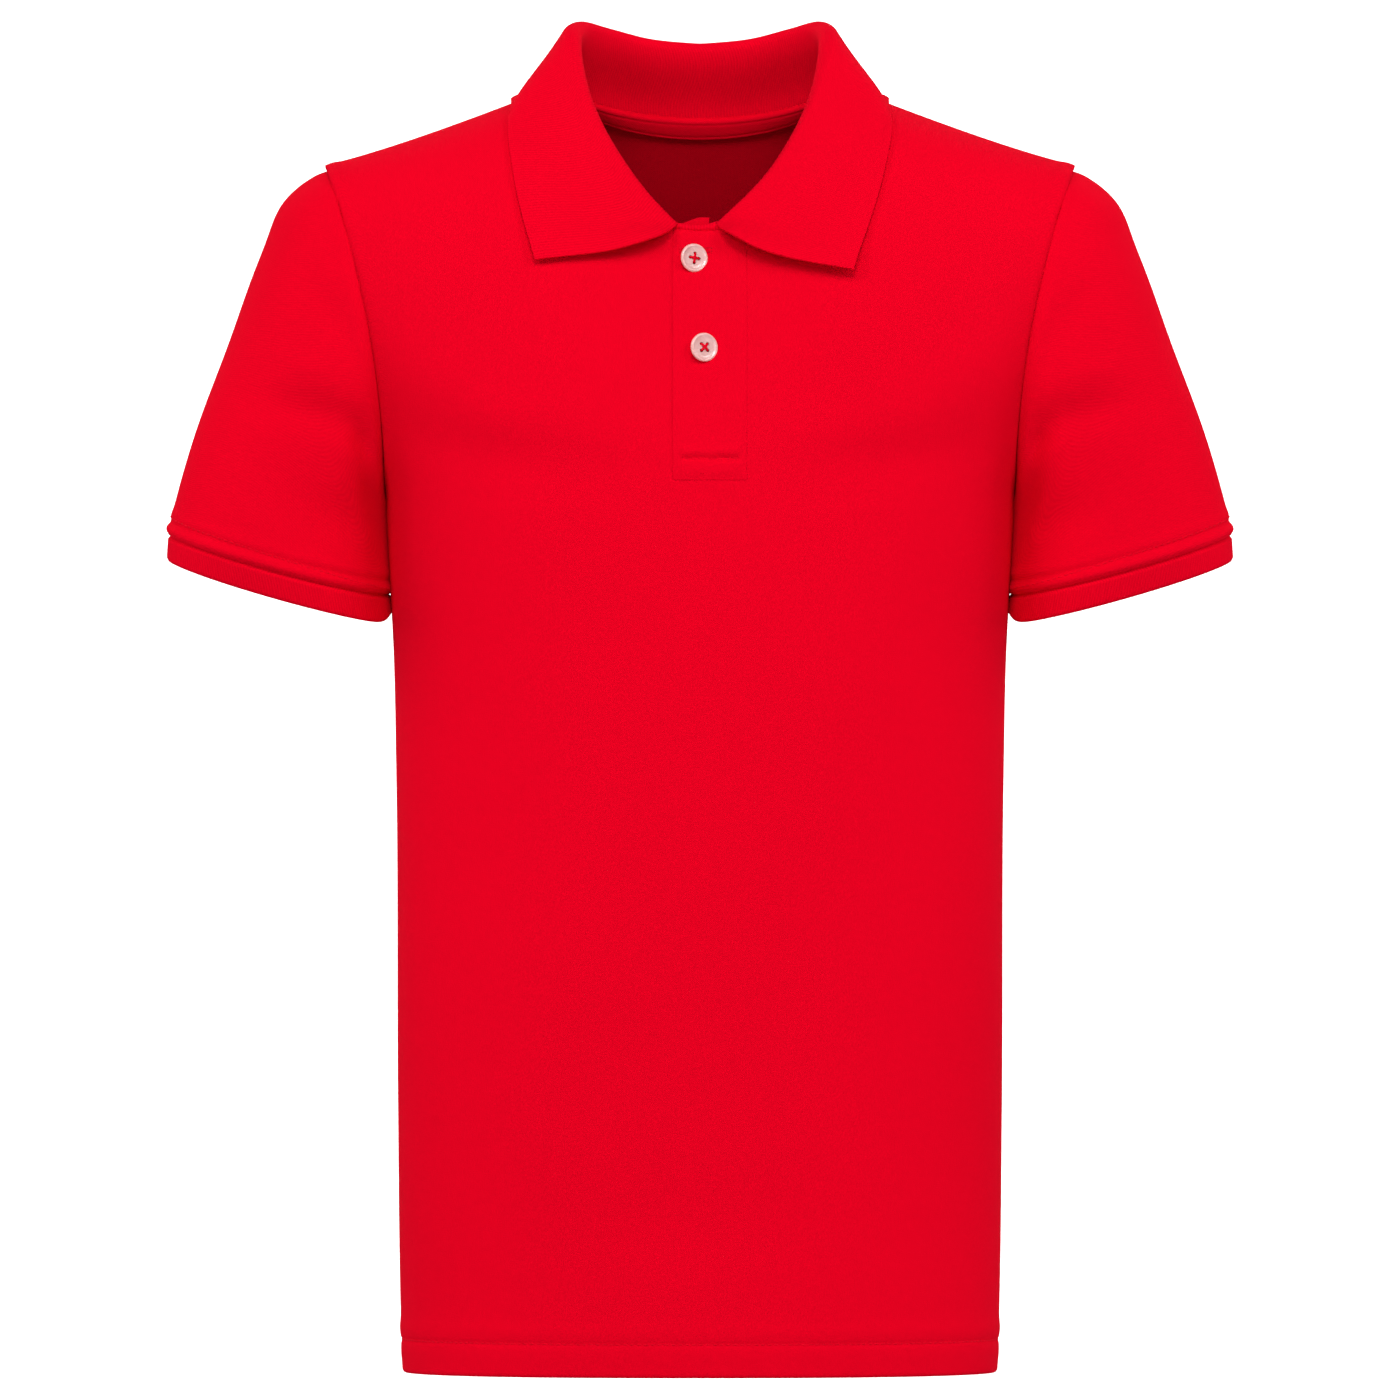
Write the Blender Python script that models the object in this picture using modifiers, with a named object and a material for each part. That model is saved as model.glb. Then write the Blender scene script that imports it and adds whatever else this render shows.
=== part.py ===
"""A child's short sleeved polo shirt, standing open as if worn.

Z is up, the front faces -Y and the wearer's left is +X. The origin lies midway between the two
points where collar and shoulder seam meet. Sizes are in millimetres until a mesh is made.
"""
import math

import bmesh
import bpy
import numpy as np
from mathutils import Matrix, Vector
from mathutils.bvhtree import BVHTree

MM = 0.001

# Cloth
WALL = 1.2
COLLAR_WALL = 1.8
GAP = 0.35
HEM_TURN = 14.0
HEM_EXTRA = 0.8

# Neck opening
NECK_HALF_WIDTH = 62.0
NECK_FRONT_Y = -58.0
NECK_BACK_Y = 56.0
NECK_FRONT_DROP = 62.0
NECK_BACK_DROP = 14.0

# Shoulder and armhole
SHOULDER_X = 165.0
SHOULDER_DROP = 35.5
SHOULDER_BOW = 1.15
UNDERARM_X = 138.5
UNDERARM_Z = -181.0
ARMHOLE_HALF_DEPTH = 50.0
CHEST_DEPTH = 100.6
BACK_DEPTH = 98.0
FLARE = SHOULDER_X / UNDERARM_X - 1.0

# Body sections, from the hem up: height, half width, front depth, back depth
BODY_SECTIONS = (
    (-566.0, 130.9, 95.0, 95.0),
    (-535.0, 131.8, 95.5, 94.0),
    (-446.0, 132.9, 97.0, 92.0),
    (-306.0, 133.6, 100.0, 92.0),
    (-245.0, 135.0, 101.4, 95.0),
    (-208.0, 137.2, 101.2, 97.3),
    (UNDERARM_Z, UNDERARM_X, CHEST_DEPTH, BACK_DEPTH),
    (UNDERARM_Z + 22.0, UNDERARM_X, 99.8, 98.0),
)
SQUARENESS = 2.4
BODY_HEIGHTS = (-566.0, -559.0, -552.0, -515.0, -470.0, -425.0, -380.0, -335.0, -290.0,
                -250.0, -213.0)
YOKE_ROWS = 12

# Where the panels' columns meet the neckline, in degrees from its middle, and the shoulder
NECK_ANGLES = (24.0, 38.0, 52.0, 65.0, 77.0)
SHOULDER_COLUMNS = (NECK_HALF_WIDTH, 79.0, 99.0, 119.0, 138.0, 153.0, 162.0, SHOULDER_X)

# Placket bands
BAND_LEFT = -11.0
BAND_RIGHT = 19.6
BAND_LAP = 1.0
NOTCH_ROW = 2

# Buttons: x, z
BUTTONS = ((-3.1, -76.1), (1.3, -115.3))
BUTTON_RADIUS = 6.35
BUTTON_HEIGHT = 2.6
HOLE_RADIUS = 0.75
HOLE_PITCH = 1.45

# Folds of the cloth in the front view: start x, z, end x, z, rise, half width
FRONT_FOLDS = (
    (140.0, -103.0, 98.0, -150.0, 3.0, 13.0),
    (133.0, -148.0, 66.0, -172.0, -3.0, 12.0),
    (-142.0, -104.0, -98.0, -150.0, 3.0, 13.0),
    (-133.0, -149.0, -64.0, -170.0, -3.0, 12.0),
)
BACK_FOLDS = (
    (132.0, -120.0, 70.0, -190.0, -3.0, 14.0),
    (-132.0, -124.0, -72.0, -186.0, -3.0, 14.0),
    (58.0, -200.0, 66.0, -470.0, 3.5, 17.0),
    (-50.0, -215.0, -62.0, -500.0, 3.5, 18.0),
    (4.0, -240.0, -2.0, -520.0, -3.0, 20.0),
)
SLEEVE_FOLDS = (
    (169.0, -90.0, 146.0, -122.0, -2.5, 9.0),
    (190.0, -140.0, 144.0, -152.0, -3.0, 9.0),
    (176.0, -124.0, 156.0, -136.0, 2.0, 8.0),
)

# Sleeve end: centre x, y, z, half width, half depth, tilt of the opening, bow of its front edge
SLEEVE_END = (186.0, -4.0, -210.5, 49.8, 40.0, 15.0, 4.0)

# Cuff: share of the sleeve that it reaches into, its spread, and rows of drop and inset
CUFF_TUCK = 0.04
CUFF_SPREAD = 0.08
CUFF_INSET = WALL + 2.0 * GAP
CUFF_ROWS = ((0.0, CUFF_INSET), (2.2, 1.1), (7.0, 1.0), (12.5, 1.1))
SLEEVE_TUCK = 2.1
SLEEVE_LAP = 2.0
RING_STEPS = 2 * YOKE_ROWS
SLEEVE_ROWS = 8

# Sleeve ribs by angle from the shoulder point: start slope, start pull, end slope, end pull
SLEEVE_RIBS = (
    (0.0, 24.0, 36.0, 76.0, 48.0),
    (90.0, 44.0, 34.0, 80.0, 40.0),
    (150.0, 72.0, 18.0, 90.0, 20.0),
    (180.0, 88.0, 12.0, 92.0, 12.0),
)

# Collar sections from the middle front round to the middle back:
# angle on the neckline, fold x, y, z, fold roll, leaf edge x, z
COLLAR_SECTIONS = (
    (9.5, 10.6, -60.5, -59.6, 1.6, 72.2, -78.0),
    (28.0, 23.2, -57.0, -47.6, 2.0, 78.0, -61.0),
    (45.0, 33.4, -50.0, -33.6, 2.4, 81.6, -47.0),
    (60.0, 41.8, -40.0, -17.6, 2.8, 84.0, -33.0),
    (76.0, 48.0, -27.0, 1.0, 3.2, 85.0, -20.0),
    (92.0, 51.6, -8.0, 20.5, 3.6, 84.0, -9.2),
    (110.0, 51.0, 14.0, 26.5, 3.8, 80.0, -13.0),
    (132.0, 40.0, 34.0, 24.5, 3.6, 66.0, -19.0),
    (156.0, 22.0, 46.5, 21.5, 3.4, 39.0, -23.5),
    (180.0, 0.0, 51.0, 20.5, 3.4, 0.0, -25.5),
)
LEAF_CLEARANCE = 1.5
LEFT_TIP_SHIFT = (-5.0, -3.2)

# Neck tape
TAPE_WIDTH = 8.5
TAPE_RISE = 1.0
TAPE_INSET = COLLAR_WALL + 2.0 * GAP
TAPE_ANGLE = 72.0
TAPE_STEPS = 20


def blend(x, start, end):
    """Smooth step from 0 at start to 1 at end."""
    t = np.clip((np.asarray(x, float) - start) / (end - start), 0.0, 1.0)
    return t * t * (3.0 - 2.0 * t)


def ease(x, xs, ys):
    """Smooth curve through a table, level at neither end."""
    xs, ys = np.asarray(xs, float), np.asarray(ys, float)
    slopes = np.gradient(ys, xs, axis=0)
    i = np.clip(np.searchsorted(xs, x) - 1, 0, len(xs) - 2)
    h = xs[i + 1] - xs[i]
    t = (x - xs[i]) / h
    if ys.ndim > 1:
        h, t = np.asarray(h)[..., None], np.asarray(t)[..., None]
    return ((1 + 2 * t) * (1 - t) ** 2 * ys[i] + t * (1 - t) ** 2 * h * slopes[i]
            + t * t * (3 - 2 * t) * ys[i + 1] + t * t * (t - 1) * h * slopes[i + 1])


def shoulder_height(x):
    """Height of the shoulder seam at a distance from the middle."""
    t = np.clip((np.abs(x) - NECK_HALF_WIDTH) / (SHOULDER_X - NECK_HALF_WIDTH), 0.0, 1.0)
    return -SHOULDER_DROP * (1.0 - (1.0 - t) ** SHOULDER_BOW)


def top_edge(x, face):
    """Depth and height of the neckline or the shoulder at x; face is -1 in front, 1 behind."""
    c = np.sqrt(np.clip(1.0 - (x / NECK_HALF_WIDTH) ** 2, 0.0, 1.0))
    depth, drop, bend = ((NECK_FRONT_Y, NECK_FRONT_DROP, 1.3) if face < 0
                         else (NECK_BACK_Y, NECK_BACK_DROP, 1.5))
    on_neck = np.abs(x) < NECK_HALF_WIDTH
    return depth * c, np.where(on_neck, -drop * c ** bend, shoulder_height(x))


def top_x(u):
    """Where a column of the panel meets the top edge."""
    return UNDERARM_X * u * (1.0 + FLARE * u * u)


def column(x):
    """The column whose top lies at x."""
    u = np.asarray(x, float) / SHOULDER_X
    for _ in range(30):
        u = u - (top_x(u) - x) / (UNDERARM_X * (1.0 + 3.0 * FLARE * u * u))
    return u


def body_low(u, z, face):
    """Point of the body below the arms."""
    table = np.array(BODY_SECTIONS)
    half, front, back = ease(z, table[:, 0], table[:, 1:]).T
    depth = front if face < 0 else back
    y = depth * (1.0 - np.abs(u) ** SQUARENESS).clip(0.0) ** (1.0 / SQUARENESS)
    return np.stack([half * u, face * (y + GAP), z + 0.0 * u], -1)


def body_high(u, t, face):
    """Point of the chest or the upper back, t running from the arms up to the top edge."""
    x_top = top_x(u)
    y_top, z_top = top_edge(x_top, face)
    to_side = blend(np.abs(x_top), 0.0, 80.0)
    power = 1.6 + 0.9 * to_side
    cut = 0.84 + 0.16 * to_side
    rest = (1.0 - cut ** power).clip(0.0) ** (1.0 / power)
    fall = ((1.0 - (cut * t) ** power).clip(0.0) ** (1.0 / power) - rest) / (1.0 - rest)
    edge_fall = np.maximum((1.0 - t ** 2.5).clip(0.0) ** 0.4, 0.02)
    edge = ARMHOLE_HALF_DEPTH * np.sqrt((4.0 * t * (1.0 - t)).clip(0.0))
    depth = CHEST_DEPTH if face < 0 else BACK_DEPTH
    open_side = 1.0 - (edge / (edge_fall * depth)).clip(0.0, 0.999) ** SQUARENESS
    section = depth * (1.0 - open_side * np.abs(u) ** SQUARENESS).clip(0.0) ** (1 / SQUARENESS)
    x = UNDERARM_X * u * (1.0 + FLARE * (u * t) ** 2)
    y = y_top * (1.0 - fall) + face * (fall * section + GAP)
    return np.stack([x, y, UNDERARM_Z + (z_top - UNDERARM_Z) * t], -1)


def find_high(x, z, face):
    """Column and height of the upper panel's point seen at x, z."""
    u, t = x / UNDERARM_X, np.full(np.shape(x), 0.5)
    for _ in range(25):
        u = x / (UNDERARM_X * (1.0 + FLARE * (u * t) ** 2))
        z_top = top_edge(top_x(u), face)[1]
        t = ((z - UNDERARM_Z) / (z_top - UNDERARM_Z)).clip(0.0, 1.0)
    return u, t


def grid_normals(points):
    """Unit normals of a grid of points, along its rows and columns."""
    du = np.gradient(points, axis=1)
    dv = np.gradient(points, axis=0)
    n = np.cross(du, dv)
    return n / np.maximum(np.linalg.norm(n, axis=-1, keepdims=True), 1e-9)


def fold_rise(points, folds):
    """Height of the folds at each point, from its place in the front view."""
    flat = points[..., [0, 2]]
    rise = np.zeros(flat.shape[:-1])
    for x0, z0, x1, z1, height, width in folds:
        start, way = np.array([x0, z0]), np.array([x1 - x0, z1 - z0])
        length = np.linalg.norm(way)
        along = (flat - start) @ way / length ** 2
        off = flat - start - along.clip(0, 1)[..., None] * way
        rise += height * np.exp(-(np.linalg.norm(off, axis=-1) / width) ** 2)
    return rise


def panel(face, middle, folds):
    """Grid of a front or back panel, with its rows from the hem to the top edge."""
    neck = NECK_HALF_WIDTH * np.sin(np.radians(NECK_ANGLES))
    half = np.concatenate([neck, SHOULDER_COLUMNS])
    x = np.concatenate([-half[::-1], middle, half])
    u = column(x)
    t = (1.0 - np.cos(np.pi * np.arange(YOKE_ROWS + 1) / YOKE_ROWS)) / 2.0
    rows = [body_low(u, np.full(u.shape, z), face) for z in BODY_HEIGHTS]
    rows += [body_high(u, np.full(u.shape, v), face) for v in t]
    points = np.array(rows)
    normals = grid_normals(points) * (-1.0 if face > 0 else 1.0)
    away = blend(points[..., 2], UNDERARM_Z - 385.0, UNDERARM_Z - 340.0)
    away = away * blend(1.0 - np.abs(u), 0.0, 0.05)[None, :]
    return points + normals * (fold_rise(points, folds) * away)[..., None], x


def upper_point(x, z, face):
    """Outer point and unit normal of the folded upper panel seen at x, z."""
    u, t = find_high(x, z, face)
    p = body_high(u, t, face)
    e = 0.01
    across = body_high(u + e, t, face) - body_high(u - e, t, face)
    up = body_high(u, np.minimum(t + e, 1.0), face) - body_high(u, t - e, face)
    n = np.cross(across, up) * (-1.0 if face > 0 else 1.0)
    n /= np.linalg.norm(n, axis=-1, keepdims=True)
    folds = FRONT_FOLDS if face < 0 else BACK_FOLDS
    return p + n * fold_rise(p, folds)[..., None], n


def armhole(g):
    """Point of the armhole's edge at angle g from the shoulder point, forward over the front."""
    c = np.cos(np.radians(g))
    t = (1.0 + c) / 2.0
    z = UNDERARM_Z + (-SHOULDER_DROP - UNDERARM_Z) * t
    y = -ARMHOLE_HALF_DEPTH * np.sin(np.radians(g))
    return np.stack([UNDERARM_X + (SHOULDER_X - UNDERARM_X) * t * t, y, z], -1)


def sleeve_end(g, drop, inset):
    """Point of the sleeve's open end, or of a ring below it or within it."""
    cx, cy, cz, half, deep, tilt, bow = SLEEVE_END
    a, b = np.radians(g), math.radians(tilt)
    out = np.cos(a) * (half - inset)
    x = cx + out * math.cos(b)
    y = cy - np.sin(a) * (deep - inset)
    z = cz + out * math.sin(b) - bow * np.sin(a) - drop
    return np.stack([x, y, z], -1)


def sleeve(g, v):
    """Point of the left sleeve at angle g, v running from the armhole to the sleeve's end."""
    ribs = np.array(SLEEVE_RIBS)
    from_top = 180.0 - np.abs(180.0 - np.mod(g, 360.0))
    slope0, pull0, slope1, pull1 = ease(from_top, ribs[:, 0], ribs[:, 1:]).T
    edge = armhole(g)
    centre = np.array([0.0, 0.0, (UNDERARM_Z - SHOULDER_DROP) / 2.0])
    inward = (centre - edge) * np.array([0.0, 1.0, 1.0])
    inward /= np.linalg.norm(inward, axis=-1, keepdims=True)
    tuck = SLEEVE_TUCK * (1.0 - blend(from_top, 118.0, 150.0))
    lap = SLEEVE_LAP * (1.0 - blend(from_top, 88.0, 112.0))
    clear = (WALL + GAP + 0.4) * blend(from_top, 128.0, 168.0)
    beyond = GAP * 1.6 * blend(from_top, 88.0, 112.0)
    start = edge + inward * tuck[..., None]
    start[..., 0] += clear + beyond - lap
    end = sleeve_end(g, 0.0, 0.0)
    a0, a1 = np.radians(slope0), np.radians(slope1)
    p1 = start + np.stack([np.cos(a0), 0 * a0, -np.sin(a0)], -1) * pull0[..., None]
    p2 = end + np.stack([-np.cos(a1), 0 * a1, np.sin(a1)], -1) * pull1[..., None]
    v = np.asarray(v)[..., None]
    return (start * (1 - v) ** 3 + 3 * p1 * v * (1 - v) ** 2
            + 3 * p2 * v * v * (1 - v) + end * v ** 3)


def ring_grid(rows):
    """Rows of closed rings, each from its own function of the ring's angle."""
    g = np.arange(RING_STEPS) * 360.0 / RING_STEPS
    return np.array([row(g) for row in rows])


def bezier(p0, p1, p2, p3, n):
    """Points along a cubic curve, without its first."""
    t = (np.arange(1, n + 1) / n)[:, None]
    return p0 * (1 - t) ** 3 + 3 * p1 * t * (1 - t) ** 2 + 3 * p2 * t * t * (1 - t) + p3 * t ** 3


def neckline(angle):
    """Point of the neckline at an angle from the middle front, on the wearer's left."""
    a = math.radians(angle)
    face = -1 if angle < 90.0 else 1
    x = NECK_HALF_WIDTH * math.sin(a)
    y, z = top_edge(np.array(min(x, NECK_HALF_WIDTH - 0.001)), face)
    return np.array([x, float(y), float(z)])


def collar_section(row, out):
    """Open section of the collar: stand, rolled fold and leaf."""
    angle, fold, roll, edge = row[0], row[1:4], row[4], row[5:8]
    foot = neckline(angle) + np.array([0.0, 0.0, 2.0 * GAP])
    up = np.array([0.0, 0.0, 1.0])
    height = fold[2] - foot[2]
    inner, outer = fold - out * roll, fold + out * roll
    inner[2] -= roll
    outer[2] -= roll
    points = [foot]
    points += list(bezier(foot, foot + up * height * 0.35, inner - up * height * 0.3, inner, 3))
    for a in (135.0, 90.0, 45.0, 0.0):
        c, s = math.cos(math.radians(a)), math.sin(math.radians(a))
        points.append(fold + out * roll * c + up * roll * (s - 1.0))
    leaf = edge - outer
    length = np.linalg.norm(leaf)
    points += list(bezier(outer, outer - up * length * 0.18 + leaf * 0.12 + out * length * 0.08,
                          edge - leaf * 0.3 + out * 0.6, edge, 6))
    return np.array(points)


def build_object(name, mesh, material, home):
    """Object of a mesh, in its collection, with its material."""
    obj = bpy.data.objects.new(name, mesh)
    mesh.materials.append(material)
    home.objects.link(obj)
    mesh.shade_smooth()
    return obj


def grid_mesh(name, points, closed=False, flip=False, keep=None):
    """Mesh of a grid of points in millimetres; closed joins each row's end to its start."""
    rows, cols = points.shape[:2]
    bm = bmesh.new()
    verts = [[bm.verts.new(Vector(p) * MM) for p in row] for row in points]
    for i in range(rows - 1):
        for j in range(cols if closed else cols - 1):
            if keep is not None and not keep(i, j):
                continue
            k = (j + 1) % cols
            face = [verts[i][j], verts[i][k], verts[i + 1][k], verts[i + 1][j]]
            bm.faces.new(face[::-1] if flip else face)
    bmesh.ops.delete(bm, geom=[v for v in bm.verts if not v.link_faces], context='VERTS')
    mesh = bpy.data.meshes.new(name)
    bm.to_mesh(mesh)
    bm.free()
    return mesh


def solidify(obj, wall, thick=None, turn=0.0):
    """Give an open surface its wall, inward; the points in thick get twice as much."""
    mod = obj.modifiers.new("wall", 'SOLIDIFY')
    mod.offset = -1.0
    mod.use_even_offset = False
    mod.thickness = wall * MM
    if thick:
        group = obj.vertex_groups.new(name="turned")
        group.add(thick, 1.0, 'REPLACE')
        mod.vertex_group = "turned"
        mod.thickness = (wall + turn) * MM
        mod.thickness_vertex_group = wall / (wall + turn)
    return obj


def material(name, colour, roughness):
    """Plain material with one colour."""
    mat = bpy.data.materials.new(name)
    mat.use_nodes = True
    node = mat.node_tree.nodes["Principled BSDF"]
    node.inputs["Base Color"].default_value = (*colour, 1.0)
    node.inputs["Roughness"].default_value = roughness
    node.inputs["Metallic"].default_value = 0.0
    return mat


def make_panels(home, cloth):
    """Front, slit for the placket, and back."""
    points, x = panel(-1, (BAND_LEFT, (BAND_LEFT + BAND_RIGHT) / 2.0, BAND_RIGHT), FRONT_FOLDS)
    first = len(BODY_HEIGHTS) + NOTCH_ROW
    slit = {j for j in range(len(x) - 1) if BAND_LEFT - 0.1 < (x[j] + x[j + 1]) / 2 < BAND_RIGHT}
    mesh = grid_mesh("front", points, keep=lambda i, j: i < first or j not in slit)
    front = build_object("front", mesh, cloth, home)
    mesh_hem(front)
    points, x = panel(1, (-12.0, 0.0, 12.0), BACK_FOLDS)
    back = build_object("back", grid_mesh("back", points, flip=True), cloth, home)
    mesh_hem(back)
    return front, back


def mesh_hem(obj):
    """Wall of a panel, thicker where the hem is turned up."""
    top = (BODY_SECTIONS[0][0] + HEM_TURN + 0.5) * MM
    solidify(obj, WALL, [v.index for v in obj.data.vertices if v.co.z < top], HEM_EXTRA)


def make_bands(home, cloth):
    """The two placket bands, made from the front panel's points and moved out."""
    t = (1.0 - math.cos(math.pi * NOTCH_ROW / YOKE_ROWS)) / 2.0
    foot = UNDERARM_Z + (-NECK_FRONT_DROP - UNDERARM_Z) * t
    bands = []
    for name, left, right, low, lift in (
            ("placket_under", BAND_LEFT + GAP, BAND_RIGHT - GAP, foot + GAP, 0.0),
            ("placket_top", BAND_LEFT - BAND_LAP, BAND_RIGHT + BAND_LAP, foot - BAND_LAP,
             WALL + GAP)):
        x = np.linspace(left, right, 5)
        x = np.repeat(x[None, :], 11, axis=0)
        top = top_edge(x[0], -1)[1] - 0.05
        z = low + (top[None, :] - low) * np.linspace(0.0, 1.0, 11)[:, None]
        p, n = upper_point(x, z, -1)
        mesh = grid_mesh(name, p + n * lift)
        bands.append(solidify(build_object(name, mesh, cloth, home), WALL))
    return bands


def make_sleeve(side, home, cloth, rib):
    """A sleeve and its cuff; side is 1 on the wearer's left, -1 on the right."""
    name = "left" if side > 0 else "right"
    mirror = np.array([side, 1.0, 1.0])
    grid = ring_grid([lambda g, v=v: sleeve(g, np.full(g.shape, v))
                      for v in np.linspace(0.0, 1.0, SLEEVE_ROWS)])
    centre = grid.mean(axis=1, keepdims=True)
    out = grid - centre
    out /= np.linalg.norm(out, axis=-1, keepdims=True)
    shown = np.where(grid[..., 1] < 0.0, 1.0, 0.8)
    clear = blend(np.linspace(0, 1, SLEEVE_ROWS), 0.0, 0.12)[:, None]
    grid = grid + out * (fold_rise(grid, SLEEVE_FOLDS) * shown * clear)[..., None]
    mesh = grid_mesh("sleeve_" + name, grid * mirror, closed=True, flip=side > 0)
    tube = solidify(build_object("sleeve_" + name, mesh, cloth, home), WALL)
    rows = [lambda g: sleeve(g, np.full(g.shape, 1.0 - CUFF_TUCK))]
    rows += [lambda g, d=d: sleeve_end(g, d, -CUFF_SPREAD * d) for d, _ in CUFF_ROWS]
    ring = ring_grid(rows)
    out = ring - ring.mean(axis=1, keepdims=True)
    inset = np.array([CUFF_INSET, *(row[1] for row in CUFF_ROWS)])[:, None, None]
    ring -= out / np.linalg.norm(out, axis=-1, keepdims=True) * inset
    mesh = grid_mesh("cuff_" + name, ring * mirror, closed=True, flip=side > 0)
    cuff = solidify(build_object("cuff_" + name, mesh, rib, home), WALL + 0.2)
    return tube, cuff


def tree_of(objects):
    """Search tree of the outer surfaces of some objects."""
    verts, faces = [], []
    for obj in objects:
        start = len(verts)
        verts += [v.co.copy() for v in obj.data.vertices]
        faces += [[start + i for i in p.vertices] for p in obj.data.polygons]
    return BVHTree.FromPolygons(verts, faces)


def lift_clear(points, tree, clearance):
    """Move points out to a clearance above the surfaces in a tree."""
    for i, p in enumerate(points):
        place, normal, _, _ = tree.find_nearest(Vector(p) * MM)
        height = (Vector(p) * MM - place).dot(normal) / MM
        if height < clearance:
            points[i] = p + np.array(normal) * (clearance - height)
    return points


def make_collar(home, rib, below):
    """The knitted collar, from its right front end round the back to its left."""
    table = np.array(COLLAR_SECTIONS)
    angles = table[:, 0]
    half = [angles[0], *NECK_ANGLES, 90.0, *(180.0 - np.array(NECK_ANGLES[::-1])), 169.0]
    stations = [*half, 180.0, *(360.0 - np.array(half[::-1]))]
    tree = tree_of(below)
    grid = []
    for s in stations:
        side = -1.0 if s <= 180.0 else 1.0
        a = min(s, 360.0 - s)
        row = ease(np.array([a]), angles, table)[0]
        row[0] = a
        shift = (1.0 - blend(a, 15.0, 75.0)) if side > 0 else 0.0
        x, z = row[5] + LEFT_TIP_SHIFT[0] * shift, row[6] + LEFT_TIP_SHIFT[1] * shift
        edge = leaf_edge(x, z, a, side)
        ahead = ease(np.array([min(a + 1.0, 180.0)]), angles, table)[0][1:3]
        behind = ease(np.array([max(a - 1.0, angles[0])]), angles, table)[0][1:3]
        way = ahead - behind
        out = np.array([way[1], -way[0], 0.0]) / np.linalg.norm(way)
        if row[1] < 1e-6:
            out = np.array([0.0, 1.0, 0.0])
        section = collar_section(np.concatenate([row[:5], edge]), out)
        section[1:] = lift_clear(section[1:], tree, LEAF_CLEARANCE + COLLAR_WALL)
        grid.append(section * np.array([side, 1.0, 1.0]))
    mesh = grid_mesh("collar", np.array(grid))
    return solidify(build_object("collar", mesh, rib, home), COLLAR_WALL)


def leaf_edge(x, z, angle, side):
    """Point of the leaf's edge, on the panel below it."""
    face = -1 if angle < 100.0 else 1
    if shoulder_height(np.array(x)) < z + 1.5 and x > NECK_HALF_WIDTH:
        return np.array([x, 0.0, z + LEAF_CLEARANCE + COLLAR_WALL])
    p, n = upper_point(np.array([side * x]), np.array([z]), face)
    p = p[0] + n[0] * (LEAF_CLEARANCE + COLLAR_WALL)
    return p * np.array([side, 1.0, 1.0])


def below_neck(x, distances, face):
    """Outer points and normals of the panel at distances down from its neckline."""
    u = column(x)
    t = np.linspace(0.8, 1.0, 81)[::-1]
    lines = np.array([body_high(u, np.full(u.shape, v), face) for v in t])
    run = np.linalg.norm(np.diff(lines, axis=0), axis=-1).cumsum(axis=0)
    run = np.vstack([np.zeros((1, len(u))), run])
    grid = np.array([[np.interp(d, run[:, j], t) for j in range(len(u))] for d in distances])
    points = np.array([body_high(u, row, face) for row in grid])
    return points, grid_normals(points)


def make_tape(home, cloth):
    """Tape over the back neck seam, inside."""
    angles = np.linspace(-TAPE_ANGLE, TAPE_ANGLE, TAPE_STEPS)
    x = NECK_HALF_WIDTH * np.sin(np.radians(angles))
    points, normals = below_neck(x, (TAPE_WIDTH, TAPE_WIDTH * 0.5, 0.0), 1)
    rows = points + normals * TAPE_INSET * (-1.0 if normals[0, 10, 1] > 0 else 1.0)
    top = rows[-1:] + np.array([0.0, 0.0, TAPE_RISE])
    mesh = grid_mesh("neck_tape", np.concatenate([rows, top]), flip=True)
    return solidify(build_object("neck_tape", mesh, cloth, home), 1.0)


def make_buttons(home, shell, cutters):
    """Two four-hole buttons on the upper band."""
    profile = ((0.0, 1.5), (3.0, 1.55), (4.3, 2.3), (5.2, BUTTON_HEIGHT), (6.0, 2.3),
               (BUTTON_RADIUS, 1.4), (5.6, 0.4), (4.2, 0.0), (0.0, 0.0))
    for number, (x, z) in enumerate(BUTTONS, 1):
        p, n = upper_point(np.array([x]), np.array([z]), -1)
        place = Vector(p[0] + n[0] * (2.0 * (WALL + GAP) - WALL + 0.1)) * MM
        turn = Vector(n[0]).to_track_quat('Z', 'Y').to_matrix().to_4x4()
        name = "button_%d" % number
        mesh = bpy.data.meshes.new(name)
        mesh.from_pydata([(r * MM, 0.0, h * MM) for r, h in profile],
                         [(i, i + 1) for i in range(len(profile) - 1)], [])
        obj = build_object(name, mesh, shell, home)
        screw = obj.modifiers.new("turned", 'SCREW')
        screw.steps = screw.render_steps = 24
        screw.use_merge_vertices = True
        screw.merge_threshold = 0.00001
        screw.use_normal_calculate = True
        obj.matrix_world = Matrix.Translation(place) @ turn
        bm = bmesh.new()
        for i in range(4):
            a = math.radians(40.0 + 90.0 * i)
            spot = Vector((math.cos(a), math.sin(a), 0.0)) * HOLE_PITCH * MM
            bmesh.ops.create_cone(bm, cap_ends=True, segments=7, radius1=HOLE_RADIUS * MM,
                                  radius2=HOLE_RADIUS * MM, depth=8.0 * MM,
                                  matrix=Matrix.Translation(spot))
        holes = bpy.data.meshes.new(name + "_holes")
        bm.to_mesh(holes)
        bm.free()
        cutter = bpy.data.objects.new(holes.name, holes)
        cutter.matrix_world = obj.matrix_world
        cutter.hide_render = True
        cutter.display_type = 'WIRE'
        cutters.objects.link(cutter)
        cut = obj.modifiers.new("holes", 'BOOLEAN')
        cut.operation = 'DIFFERENCE'
        cut.solver = 'EXACT'
        cut.object = cutter


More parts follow.
